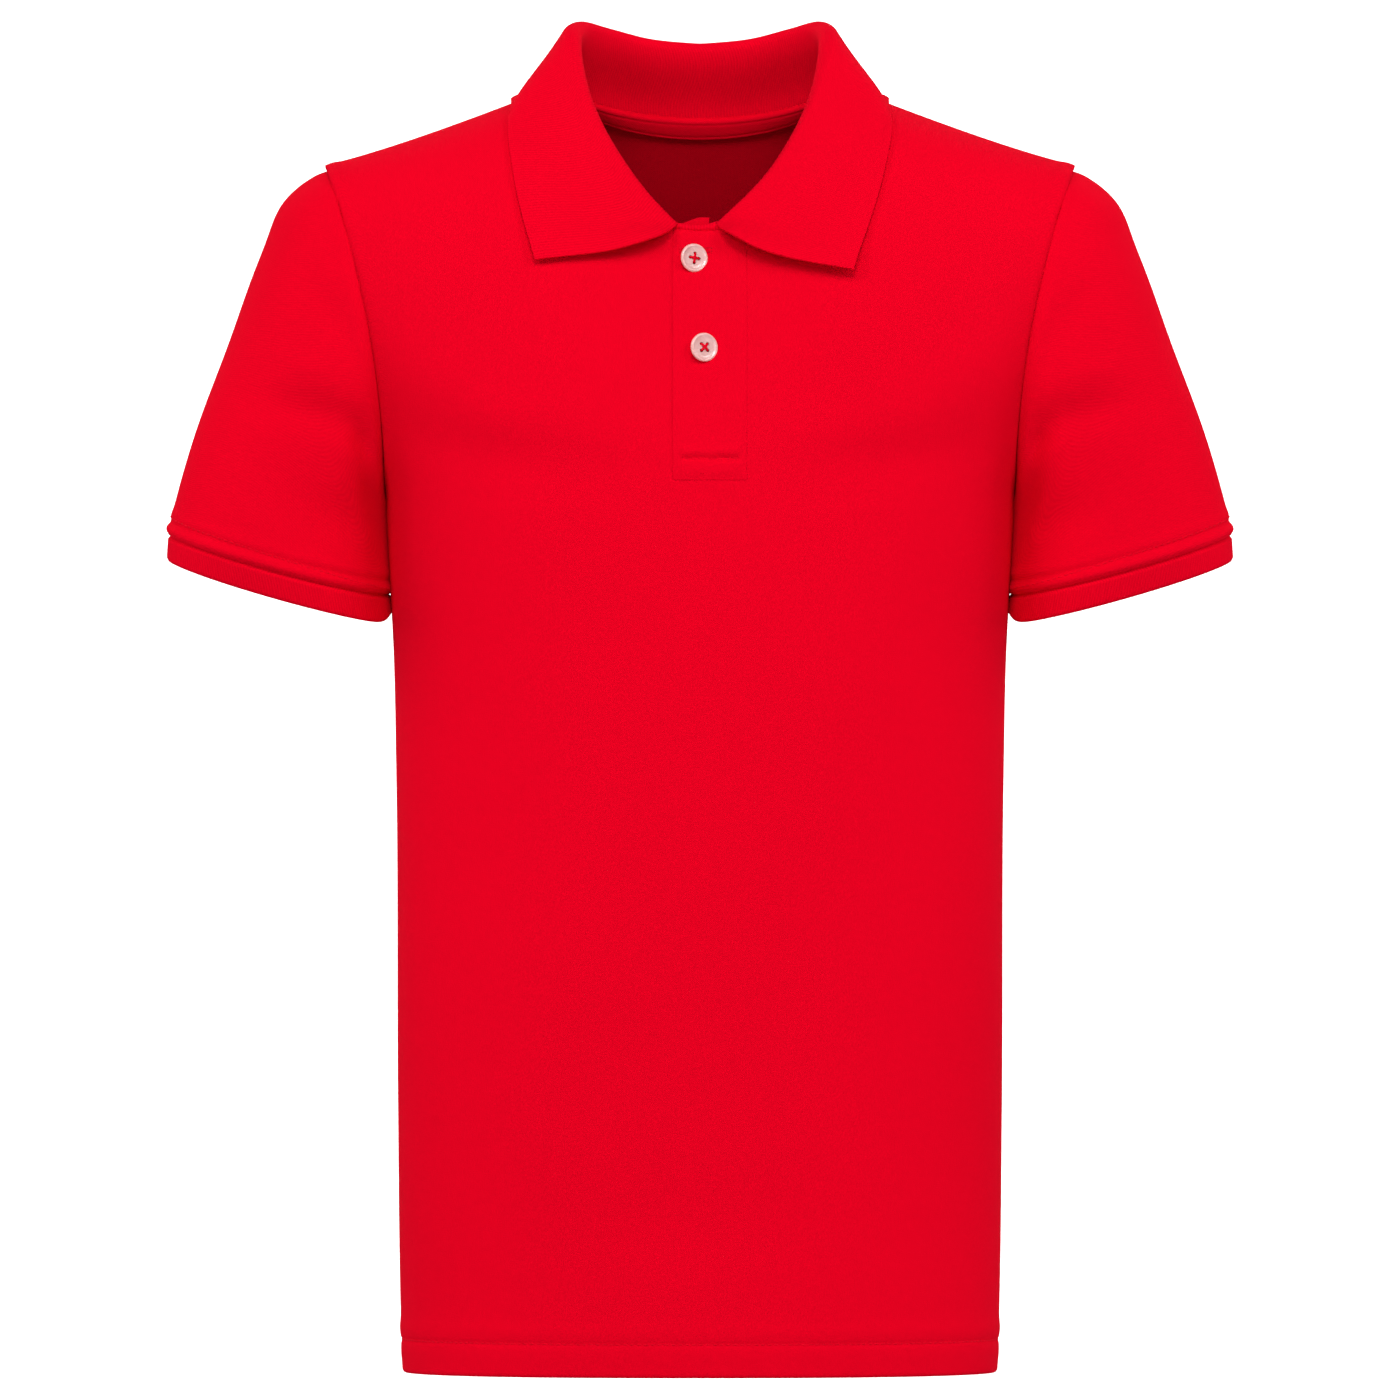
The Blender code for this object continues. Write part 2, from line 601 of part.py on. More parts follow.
def main():
    """Build the shirt."""
    for obj in list(bpy.data.objects):
        bpy.data.objects.remove(obj)
    home = bpy.data.collections.new("polo_shirt")
    cutters = bpy.data.collections.new("cutters")
    for group in (home, cutters):
        bpy.context.scene.collection.children.link(group)
    cloth = material("red_pique", (0.80, 0.002, 0.014), 0.85)
    rib = material("red_rib", (0.82, 0.001, 0.017), 0.85)
    shell = material("pink_white_button", (0.83, 0.62, 0.62), 0.25)
    front, back = make_panels(home, cloth)
    under, top = make_bands(home, cloth)
    for side in (1, -1):
        make_sleeve(side, home, cloth, rib)
    make_collar(home, rib, (front, back, top))
    make_tape(home, cloth)
    make_buttons(home, shell, cutters)


main()
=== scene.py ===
"""A child's red polo shirt, filled out as if worn: the looks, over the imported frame.

Z is up, the front faces -Y and the wearer's left is +X. The origin lies midway between the two
points where collar and shoulder seam meet. Shapes are worked out in millimetres.
"""

import logging
import math
from dataclasses import dataclass
from enum import Enum
from functools import cached_property
from typing import Callable, Iterable, Sequence

import bpy
import numpy as np
from mathutils import Matrix, Vector
from mathutils.bvhtree import BVHTree


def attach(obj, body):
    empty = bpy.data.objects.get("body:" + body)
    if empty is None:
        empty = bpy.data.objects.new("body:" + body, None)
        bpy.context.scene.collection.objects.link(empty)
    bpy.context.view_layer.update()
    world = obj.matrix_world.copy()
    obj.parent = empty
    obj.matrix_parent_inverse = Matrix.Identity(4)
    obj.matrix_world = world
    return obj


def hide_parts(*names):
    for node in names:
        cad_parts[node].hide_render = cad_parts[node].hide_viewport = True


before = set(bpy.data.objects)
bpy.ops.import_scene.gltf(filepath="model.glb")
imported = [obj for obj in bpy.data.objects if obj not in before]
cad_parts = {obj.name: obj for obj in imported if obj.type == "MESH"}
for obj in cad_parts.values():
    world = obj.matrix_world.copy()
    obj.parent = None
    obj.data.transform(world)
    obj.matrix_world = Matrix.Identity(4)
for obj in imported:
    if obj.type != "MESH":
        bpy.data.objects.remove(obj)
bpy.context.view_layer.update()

LOG = logging.getLogger("polo_shirt")
MM = 0.001


class Face(Enum):
    """The two panels of the body, by the way they face along Y."""

    FRONT = -1
    BACK = 1


class Side(Enum):
    """The wearer's left and right, by their direction along X."""

    LEFT = 1
    RIGHT = -1


class Slot(Enum):
    """Kinds of material, whose names end the names of the sleeves and the cuffs."""

    CLOTH = "cloth"
    RIB = "rib"
    BUTTON = "button"


def blend(x: np.ndarray | float, start: float, end: float) -> np.ndarray:
    """Return the smooth step from 0 at start to 1 at end."""
    t = np.clip((np.asarray(x, float) - start) / (end - start), 0.0, 1.0)
    return t * t * (3.0 - 2.0 * t)


def bump(x: np.ndarray | float, centre: float, width: float) -> np.ndarray:
    """Return a bell of height 1 around a centre."""
    return np.exp(-((np.asarray(x, float) - centre) / width) ** 2)


def bells(x: np.ndarray, rows: Iterable[tuple[float, float, float]]) -> np.ndarray:
    """Return the sum of bells at x, each given by its centre, its width and its height."""
    return sum(height * bump(x, centre, width) for centre, width, height in rows)


def through(x: np.ndarray | float, xs: Sequence[float], ys: np.ndarray) -> np.ndarray:
    """Evaluate the smooth curve through a table.

    Args:
        x: Where to read the curve.
        xs: Rising stations of the table.
        ys: One value or one row of values for each station.

    Returns:
        The values at x, with one more axis where ys has columns.
    """
    xs, ys = np.asarray(xs, float), np.asarray(ys, float)
    slopes = np.gradient(ys, xs, axis=0)
    i = np.clip(np.searchsorted(xs, x) - 1, 0, len(xs) - 2)
    h = xs[i + 1] - xs[i]
    t = (x - xs[i]) / h
    if ys.ndim > 1:
        h, t = np.asarray(h)[..., None], np.asarray(t)[..., None]
    return ((1 + 2 * t) * (1 - t) ** 2 * ys[i] + t * (1 - t) ** 2 * h * slopes[i]
            + t * t * (3 - 2 * t) * ys[i + 1] + t * t * (t - 1) * h * slopes[i + 1])


def unit(v: np.ndarray) -> np.ndarray:
    """Return vectors at length 1."""
    return v / np.maximum(np.linalg.norm(v, axis=-1, keepdims=True), 1e-9)


def bezier(p0: np.ndarray, p1: np.ndarray, p2: np.ndarray, p3: np.ndarray,
           t: np.ndarray) -> np.ndarray:
    """Return points of a cubic curve at each t."""
    t = np.asarray(t)[..., None]
    return p0 * (1 - t) ** 3 + 3 * p1 * t * (1 - t) ** 2 + 3 * p2 * t * t * (1 - t) + p3 * t ** 3


def grid_normals(points: np.ndarray, closed: bool = False) -> np.ndarray:
    """Return unit normals of a grid, from its rows crossed with its columns.

    Args:
        points: Grid of points, rows by columns by 3.
        closed: Whether each row's end joins its start.

    Returns:
        One unit normal for each point.
    """
    if closed:
        du = np.roll(points, -1, axis=1) - np.roll(points, 1, axis=1)
    else:
        du = np.gradient(points, axis=1)
    return unit(np.cross(du, np.gradient(points, axis=0)))


def runs(points: np.ndarray, axis: int) -> np.ndarray:
    """Measure the way along a grid.

    Args:
        points: Grid of points.
        axis: The grid's axis to follow.

    Returns:
        For each point, the distance from the start of its line.
    """
    steps = np.linalg.norm(np.diff(points, axis=axis), axis=-1)
    total = np.cumsum(steps, axis=axis)
    pad = np.zeros_like(np.take(total, [0], axis=axis))
    return np.concatenate([pad, total], axis=axis)


@dataclass(frozen=True)
class Fold:
    """A soft ridge or trough of the cloth, along a bowed line in the front or back view.

    Its rise is above the surface, and below it where negative. Tail is the share of the rise at
    the line's end, and sag bows the line to its left. A fold is lower towards both of its ends.
    """

    x0: float
    z0: float
    x1: float
    z1: float
    rise: float
    width: float
    tail: float = 1.0
    sag: float = 0.0
    steps: int = 14

    def height(self, flat: np.ndarray) -> np.ndarray:
        """Return the fold's height at points seen at x, z.

        Args:
            flat: Points, with x and z along the last axis.

        Returns:
            One height for each point, in millimetres.
        """
        start, end = np.array([self.x0, self.z0]), np.array([self.x1, self.z1])
        t = np.linspace(0.0, 1.0, self.steps)[:, None]
        left = unit(np.array([start[1] - end[1], end[0] - start[0]]))
        line = start + (end - start) * t + left * self.sag * 4.0 * t * (1.0 - t)
        near = np.full(flat.shape[:-1], 1e9)
        place = np.zeros(flat.shape[:-1])
        for k in range(self.steps - 1):
            way = line[k + 1] - line[k]
            along = (((flat - line[k]) @ way) / (way @ way)).clip(0.0, 1.0)
            off = np.linalg.norm(flat - line[k] - along[..., None] * way, axis=-1)
            place = np.where(off < near, (k + along) / (self.steps - 1), place)
            near = np.minimum(near, off)
        fade = 0.25 + 0.75 * np.sin(np.pi * (0.08 + 0.84 * place)).clip(0.0)
        size = self.rise * (1.0 + (self.tail - 1.0) * place) * fade
        return size * np.exp(-(near / self.width) ** 2)


def fold_height(points: np.ndarray, folds: Iterable[Fold]) -> np.ndarray:
    """Return the height of all folds together at each point."""
    flat = points[..., [0, 2]]
    return sum((f.height(flat) for f in folds), np.zeros(flat.shape[:-1]))


class Cell:
    """A value in a shader, which Python's own operators turn into Math nodes."""

    def __init__(self, graph: "Graph", socket: bpy.types.NodeSocket) -> None:
        """Wrap an output socket of a graph."""
        self.graph = graph
        self.socket = socket

    def _with(self, operation: str, *values: "Cell | float") -> "Cell":
        """Return a Math node's output over these values."""
        return self.graph.math(operation, *values)

    def __add__(self, other: "Cell | float") -> "Cell":
        """Return the sum."""
        return self._with("ADD", self, other)

    __radd__ = __add__

    def __sub__(self, other: "Cell | float") -> "Cell":
        """Return the difference."""
        return self._with("SUBTRACT", self, other)

    def __rsub__(self, other: float) -> "Cell":
        """Return a number less this value."""
        return self._with("SUBTRACT", other, self)

    def __mul__(self, other: "Cell | float") -> "Cell":
        """Return the product."""
        return self._with("MULTIPLY", self, other)

    __rmul__ = __mul__

    def __pow__(self, other: float) -> "Cell":
        """Return the power."""
        return self._with("POWER", self, other)

    def cosine(self) -> "Cell":
        """Return the cosine."""
        return self._with("COSINE", self)


class Graph:
    """The node tree of one material."""

    mix_inputs = (0, 6, 7)
    mix_output = 2

    def __init__(self, name: str) -> None:
        """Start a material that holds only its output and its shader.

        Args:
            name: The material's name.
        """
        self.material = bpy.data.materials.new(name)
        self.material.use_nodes = True
        self.tree = self.material.node_tree
        self.shader = self.tree.nodes["Principled BSDF"]

    def node(self, kind: str, settings: dict[str, object] | None = None,
             **inputs: object) -> bpy.types.Node:
        """Add a node.

        Args:
            kind: The node's type.
            settings: Its properties by name.
            **inputs: Its inputs by name, with _ for a space, each a Cell, a socket or a value.

        Returns:
            The new node.
        """
        made = self.tree.nodes.new(kind)
        for key, value in (settings or {}).items():
            setattr(made, key, value)
        for key, value in inputs.items():
            self.link(made.inputs[key.replace("_", " ")], value)
        return made

    def link(self, socket: bpy.types.NodeSocket, value: object) -> None:
        """Feed an input.

        Args:
            socket: The input.
            value: A Cell, an output socket or a plain value.
        """
        if isinstance(value, Cell):
            self.tree.links.new(value.socket, socket)
        elif isinstance(value, bpy.types.NodeSocket):
            self.tree.links.new(value, socket)
        else:
            socket.default_value = value

    def math(self, operation: str, *values: Cell | float) -> Cell:
        """Add a Math node.

        Args:
            operation: What it does.
            *values: Its inputs in order.

        Returns:
            Its output.
        """
        made = self.node("ShaderNodeMath", {"operation": operation})
        for socket, value in zip(made.inputs, values):
            self.link(socket, value)
        return Cell(self, made.outputs[0])

    def cloth_plane(self) -> tuple[Cell, Cell]:
        """Return the place on the flat cloth, across and along, in millimetres."""
        split = self.node("ShaderNodeSeparateXYZ", Vector=self.node("ShaderNodeUVMap").outputs[0])
        return (Cell(self, split.outputs["X"]) * 1000.0, Cell(self, split.outputs["Y"]) * 1000.0)

    def noise(self, scale: float, detail: float = 2.0) -> Cell:
        """Add noise over the piece's own space.

        Args:
            scale: How fine it is.
            detail: How many finer layers it has.

        Returns:
            The noise, around 0.5.
        """
        space = self.node("ShaderNodeTexCoord").outputs["Object"]
        made = self.node("ShaderNodeTexNoise", None, Vector=space, Scale=scale, Detail=detail)
        return Cell(self, made.outputs["Fac"])

    def mix(self, factor: Cell | float, low: tuple | bpy.types.NodeSocket,
            high: tuple | bpy.types.NodeSocket) -> bpy.types.NodeSocket:
        """Mix two colours.

        Args:
            factor: The second colour's share.
            low: The first colour.
            high: The second colour.

        Returns:
            The mixed colour.
        """
        made = self.node("ShaderNodeMix", {"data_type": "RGBA"})
        share, first, second = (made.inputs[i] for i in self.mix_inputs)
        self.link(share, factor)
        self.link(first, low)
        self.link(second, high)
        return made.outputs[self.mix_output]

    def relief(self, height: Cell, distance: float, strength: float = 1.0) -> None:
        """Feed the shader's normal from a height.

        Args:
            height: The height, from 0 to 1.
            distance: What 1 stands for, in millimetres.
            strength: How strongly it shows.
        """
        made = self.node("ShaderNodeBump", None, Height=height, Distance=distance * MM,
                         Strength=strength)
        self.link(self.shader.inputs["Normal"], made.outputs["Normal"])

    def constants(self, **values: object) -> None:
        """Set the shader's own inputs by name, with _ for a space."""
        for key, value in values.items():
            self.shader.inputs[key.replace("_", " ")].default_value = value


def dull(g: Graph) -> None:
    """Give a knit its dull surface with a trace of red nap."""
    g.constants(Specular_IOR_Level=0.01, Sheen_Weight=0.06, Sheen_Roughness=0.55,
                Sheen_Tint=(1.0, 0.02, 0.06, 1.0))


@dataclass(frozen=True)
class Pique:
    """Knitted pique: small raised cells in staggered rows, soft and matte."""

    high: tuple = (0.86, 0.0004, 0.0160, 1.0)
    low: tuple = (0.60, 0.0003, 0.0110, 1.0)
    pitch: float = 1.05
    row: float = 0.95
    depth: float = 0.11

    def build(self, name: str) -> bpy.types.Material:
        """Make the material.

        Args:
            name: The material's name.

        Returns:
            The material.
        """
        g = Graph(name)
        x, y = g.cloth_plane()
        across = (x * (math.tau / self.pitch)).cosine()
        along = (y * (math.tau / self.row)).cosine()
        cell = (across * along) * 0.5 + 0.5
        knit = ((x + y * 0.62) * (math.tau / (self.pitch * 0.5))).cosine() * 0.5 + 0.5
        fuzz = g.noise(900.0, 3.0)
        patch = g.noise(9.0, 2.0)
        # Colour tone: random tone from two noises, plus painted shade where the knit's cells are
        # low.
        tone_and_painted_shade = cell * 0.42 + fuzz * 0.42 + patch * 0.30
        g.link(g.shader.inputs["Base Color"], g.mix(tone_and_painted_shade, self.low, self.high))
        g.relief(cell * 0.72 + knit * 0.16 + fuzz * 0.30, self.depth)
        g.link(g.shader.inputs["Roughness"], 0.96 - cell * 0.10)
        dull(g)
        return g.material


@dataclass(frozen=True)
class Rib:
    """Flat knitted rib: fine wales, which run across the cloth's first direction."""

    high: tuple = (0.86, 0.0004, 0.0162, 1.0)
    low: tuple = (0.60, 0.0003, 0.0112, 1.0)
    pitch: float = 1.35
    course: float = 0.8
    depth: float = 0.10

    def build(self, name: str) -> bpy.types.Material:
        """Make the material.

        Args:
            name: The material's name.

        Returns:
            The material.
        """
        g = Graph(name)
        x, y = g.cloth_plane()
        wale = (x * (math.tau / self.pitch)).cosine() * 0.5 + 0.5
        course = ((y + x.cosine() * 0.1) * (math.tau / self.course)).cosine() * 0.5 + 0.5
        fuzz = g.noise(1000.0, 3.0)
        patch = g.noise(11.0, 2.0)
        # Colour tone: random tone from two noises, plus painted shade in the grooves between the
        # wales and, faintly, between the courses.
        tone_and_painted_shade = wale * 0.34 + course * 0.10 + fuzz * 0.42 + patch * 0.28
        g.link(g.shader.inputs["Base Color"], g.mix(tone_and_painted_shade, self.low, self.high))
        g.relief((wale ** 0.8) * 0.70 + course * 0.18 + fuzz * 0.25, self.depth)
        g.link(g.shader.inputs["Roughness"], 0.96 - wale * 0.10)
        dull(g)
        return g.material


@dataclass(frozen=True)
class Thread:
    """Twisted sewing thread, a little smoother than the cloth."""

    high: tuple = (0.84, 0.0010, 0.020, 1.0)
    low: tuple = (0.60, 0.0005, 0.012, 1.0)

    def build(self, name: str) -> bpy.types.Material:
        """Make the material.

        Args:
            name: The material's name.

        Returns:
            The material.
        """
        g = Graph(name)
        twist = g.noise(2600.0, 1.0)
        g.link(g.shader.inputs["Base Color"], g.mix(twist, self.low, self.high))
        g.relief(twist, 0.05)
        g.link(g.shader.inputs["Roughness"], 0.80 - twist * 0.15)
        g.constants(Specular_IOR_Level=0.06)
        return g.material


@dataclass(frozen=True)
class Pearl:
    """Pinkish white button plastic with a faint cloudy pearl."""

    pale: tuple = (0.78, 0.48, 0.46, 1.0)
    deep: tuple = (0.65, 0.36, 0.34, 1.0)
    rim: tuple = (0.84, 0.46, 0.43, 1.0)
    rim_start: float = 5.2
    rim_end: float = 5.8

    def build(self, name: str) -> bpy.types.Material:
        """Make the material.

        Args:
            name: The material's name.

        Returns:
            The material.
        """
        g = Graph(name)
        space = g.node("ShaderNodeTexCoord").outputs["Object"]
        wave = g.node("ShaderNodeTexWave", {"wave_type": "BANDS", "bands_direction": "DIAGONAL"},
                      Vector=space, Scale=60.0, Distortion=9.0, Detail=2.0, Detail_Scale=1.2)
        cloud = Cell(g, wave.outputs["Fac"]) * 0.6 + g.noise(260.0, 2.0) * 0.4
        split = g.node("ShaderNodeSeparateXYZ", Vector=space)
        x, y = Cell(g, split.outputs["X"]) * 1000.0, Cell(g, split.outputs["Y"]) * 1000.0
        radius = (x * x + y * y) ** 0.5
        at_rim = g.node("ShaderNodeMapRange", {"interpolation_type": "SMOOTHSTEP"}, Value=radius,
                        From_Min=self.rim_start, From_Max=self.rim_end)
        face = g.mix(cloud, self.deep, self.pale)
        g.link(g.shader.inputs["Base Color"], g.mix(Cell(g, at_rim.outputs[0]), face, self.rim))
        g.relief(cloud, 0.03)
        g.link(g.shader.inputs["Roughness"], 0.34 - cloud * 0.12)
        g.constants(Specular_IOR_Level=0.5, Coat_Weight=0.35, Coat_Roughness=0.12,
                    Subsurface_Weight=0.08, Subsurface_Radius=(0.004, 0.002, 0.002))
        return g.material


@dataclass(frozen=True)
class Paper:
    """Plain white studio paper."""

    colour: tuple = (0.62, 0.62, 0.62, 1.0)
    grain: tuple = (0.60, 0.60, 0.60, 1.0)

    def build(self, name: str) -> bpy.types.Material:
        """Make the material.

        Args:
            name: The material's name.

        Returns:
            The material.
        """
        g = Graph(name)
        grain = g.noise(60.0, 3.0)
        g.link(g.shader.inputs["Base Color"], g.mix(grain, self.grain, self.colour))
        g.constants(Roughness=0.9, Specular_IOR_Level=0.0)
        return g.material


def in_scene(name: str, data: bpy.types.ID) -> bpy.types.Object:
    """Put an object into the scene.

    Args:
        name: The object's name.
        data: The mesh, camera or light that it holds.

    Returns:
        The object.
    """
    obj = bpy.data.objects.new(name, data)
    bpy.context.scene.collection.objects.link(obj)
    return obj


def grid_object(name: str, points: np.ndarray, uv: np.ndarray, closed: bool = False,
                flip: bool = False, keep: Callable[[int, int], bool] | None = None
                ) -> bpy.types.Object:
    """Make a smooth object of a grid of points.

    Args:
        name: The object's name.
        points: Grid of points in millimetres.
        uv: Place of each point on the flat cloth, in millimetres; a closed grid has one more
            column there than in points.
        closed: Whether each row's end joins its start.
        flip: Whether the faces turn the other way.
        keep: Says which cells have a face, by row and column.

    Returns:
        The object, linked to the scene.
    """
    rows, cols = points.shape[:2]
    last = cols if closed else cols - 1
    faces, corners = [], []
    for i in range(rows - 1):
        for j in range(last):
            if keep is not None and not keep(i, j):
                continue
            k = (j + 1) % cols
            face = [i * cols + j, i * cols + k, (i + 1) * cols + k, (i + 1) * cols + j]
            place = [(i, j), (i, j + 1), (i + 1, j + 1), (i + 1, j)]
            faces.append(face[::-1] if flip else face)
            corners += place[::-1] if flip else place
    mesh = bpy.data.meshes.new(name)
    mesh.from_pydata((points.reshape(-1, 3) * MM).tolist(), [], faces)
    layer = mesh.uv_layers.new(name="cloth")
    at = np.array(corners)
    layer.data.foreach_set("uv", (uv[at[:, 0], at[:, 1]] * MM).astype(np.float32).ravel())
    mesh.shade_smooth()
    return in_scene(name, mesh)


def flat_place(points: np.ndarray, closed: bool = False) -> np.ndarray:
    """Return each point's place on the flat cloth, from the runs of its row and column.

    Args:
        points: Grid of points in millimetres.
        closed: Whether each row's end joins its start, which adds a column.

    Returns:
        Grid of places in millimetres.
    """
    if closed:
        points = np.concatenate([points, points[:, :1]], axis=1)
    across, along = runs(points, 1), runs(points, 0)
    width = across[:, -1].max()
    centred = across - across[:, -1:] / 2.0 + width / 2.0
    return np.stack([centred, along], -1)


@dataclass(frozen=True)
class Wardrobe:
    """Finishes, one a darker copy of the pique that paints shade on the inner faces, and the
    steps that dress and place a piece.
    """

    pique: bpy.types.Material
    # The darker copy of the pique: painted shade for the cloth's inner faces.
    inside: bpy.types.Material
    rib: bpy.types.Material
    thread: bpy.types.Material
    pearl: bpy.types.Material

    @classmethod
    def stocked(cls) -> "Wardrobe":
        """Build every finish.

        Returns:
            The wardrobe that holds them.
        """
        # A darker copy of the pique for the cloth's inner faces: painted shade inside the shirt.
        inside = Pique((0.58, 0.0003, 0.0110, 1.0), (0.40, 0.0002, 0.0075, 1.0))
        return cls(Pique().build("red_pique"), inside.build("red_pique_painted_shade_inside"),
                   Rib().build("red_rib"), Thread().build("red_thread"),
                   Pearl().build("pearl_button"))

    def dress(self, obj: bpy.types.Object, finish: bpy.types.Material, slot: Slot,
              *nodes: str) -> bpy.types.Object:
        """Give a piece its finish and its body, and hide the solids that it stands for.

        Args:
            obj: The piece.
            finish: Its material.
            slot: Not used.
            *nodes: The solids that it replaces.

        Returns:
            The piece.
        """
        obj.data.materials.clear()
        obj.data.materials.append(finish)
        # Inner faces of the walled pique get the darker copy: painted shade inside the shirt.
        if finish == self.pique and "wall" in obj.modifiers:
            obj.data.materials.append(self.inside)
            obj.modifiers["wall"].material_offset = 1
        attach(obj, "root")
        if nodes:
            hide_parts(*nodes)
        LOG.info("%s: %d faces", obj.name, len(obj.data.polygons))
        return obj

    def wall(self, obj: bpy.types.Object, thick: float) -> bpy.types.Object:
        """Give an open surface its thickness, inward.

        Args:
            obj: The piece.
            thick: Its thickness in millimetres.

        Returns:
            The piece.
        """
        mod = obj.modifiers.new("wall", "SOLIDIFY")
        mod.offset = -1.0
        mod.thickness = thick * MM
        return obj


@dataclass
class Threads:
    """Rows of small stitches, gathered into one piece.

    A stitch's rings give their place along it, from -0.5 to 0.5, and their size.
    """

    name: str
    radius: float = 0.24
    length: float = 2.3
    pitch: float = 3.0
    arch: float = 0.8
    reach: float = 0.4
    sides: int = 6
    rings: tuple = ((-0.5, 0.35), (-0.36, 0.9), (0.0, 1.0), (0.36, 0.9), (0.5, 0.35))

    def __post_init__(self) -> None:
        """Start with no stitches."""
        self.verts: list[np.ndarray] = []
        self.faces: list[tuple[int, ...]] = []

    def stitch(self, centre: np.ndarray, way: np.ndarray, up: np.ndarray, length: float,
               radius: float, arch: float) -> None:
        """Add one stitch.

        Args:
            centre: Its middle, on the cloth.
            way: Its direction.
            up: The cloth's normal.
            length: Its length.
            radius: Its thread's radius.
            arch: How far its middle stands above its ends.
        """
        across = unit(np.cross(up, way))
        start = sum(len(v) for v in self.verts)
        ring = np.arange(self.sides) * math.tau / self.sides
        rows = []
        for place, size in self.rings:
            mid = centre + way * place * length + up * arch * (1.0 - 4.0 * place * place)
            spread = np.cos(ring)[:, None] * across + np.sin(ring)[:, None] * up
            rows.append(mid + spread * radius * size)
        self.verts.append(np.concatenate(rows))
        for r in range(len(rows) - 1):
            for k in range(self.sides):
                n = (k + 1) % self.sides
                a, b = start + r * self.sides, start + (r + 1) * self.sides
                self.faces.append((a + k, a + n, b + n, b + k))
        self.faces.append(tuple(start + k for k in range(self.sides))[::-1])
        last = start + (len(rows) - 1) * self.sides
        self.faces.append(tuple(last + k for k in range(self.sides)))

    def run(self, path: np.ndarray, up: np.ndarray, sink: float = 0.05) -> None:
        """Add a row of stitches along a path.

        Args:
            path: Points on the cloth.
            up: The cloth's normals there.
            sink: How far the stitches' ends lie in the cloth.
        """
        distance = runs(path, 0)
        for s in np.arange(self.pitch * 0.5, distance[-1], self.pitch):
            here, ahead = (np.array([np.interp(q, distance, path[:, c]) for c in range(3)])
                           for q in (s - self.reach, s + self.reach))
            normal = unit(np.array([np.interp(s, distance, up[:, c]) for c in range(3)]))
            self.stitch((here + ahead) / 2.0 - normal * sink, unit(ahead - here), normal,
                        self.length, self.radius, self.radius * self.arch)

    def build(self, wardrobe: Wardrobe, slot: Slot = Slot.CLOTH) -> bpy.types.Object:
        """Make the piece.

        Args:
            wardrobe: The finishes.
            slot: The kind of material, passed on to the wardrobe.

        Returns:
            All stitches as one piece.
        """
        mesh = bpy.data.meshes.new(self.name)
        mesh.from_pydata((np.concatenate(self.verts) * MM).tolist(), [], self.faces)
        mesh.shade_smooth()
        return wardrobe.dress(in_scene(self.name, mesh), wardrobe.thread, slot)


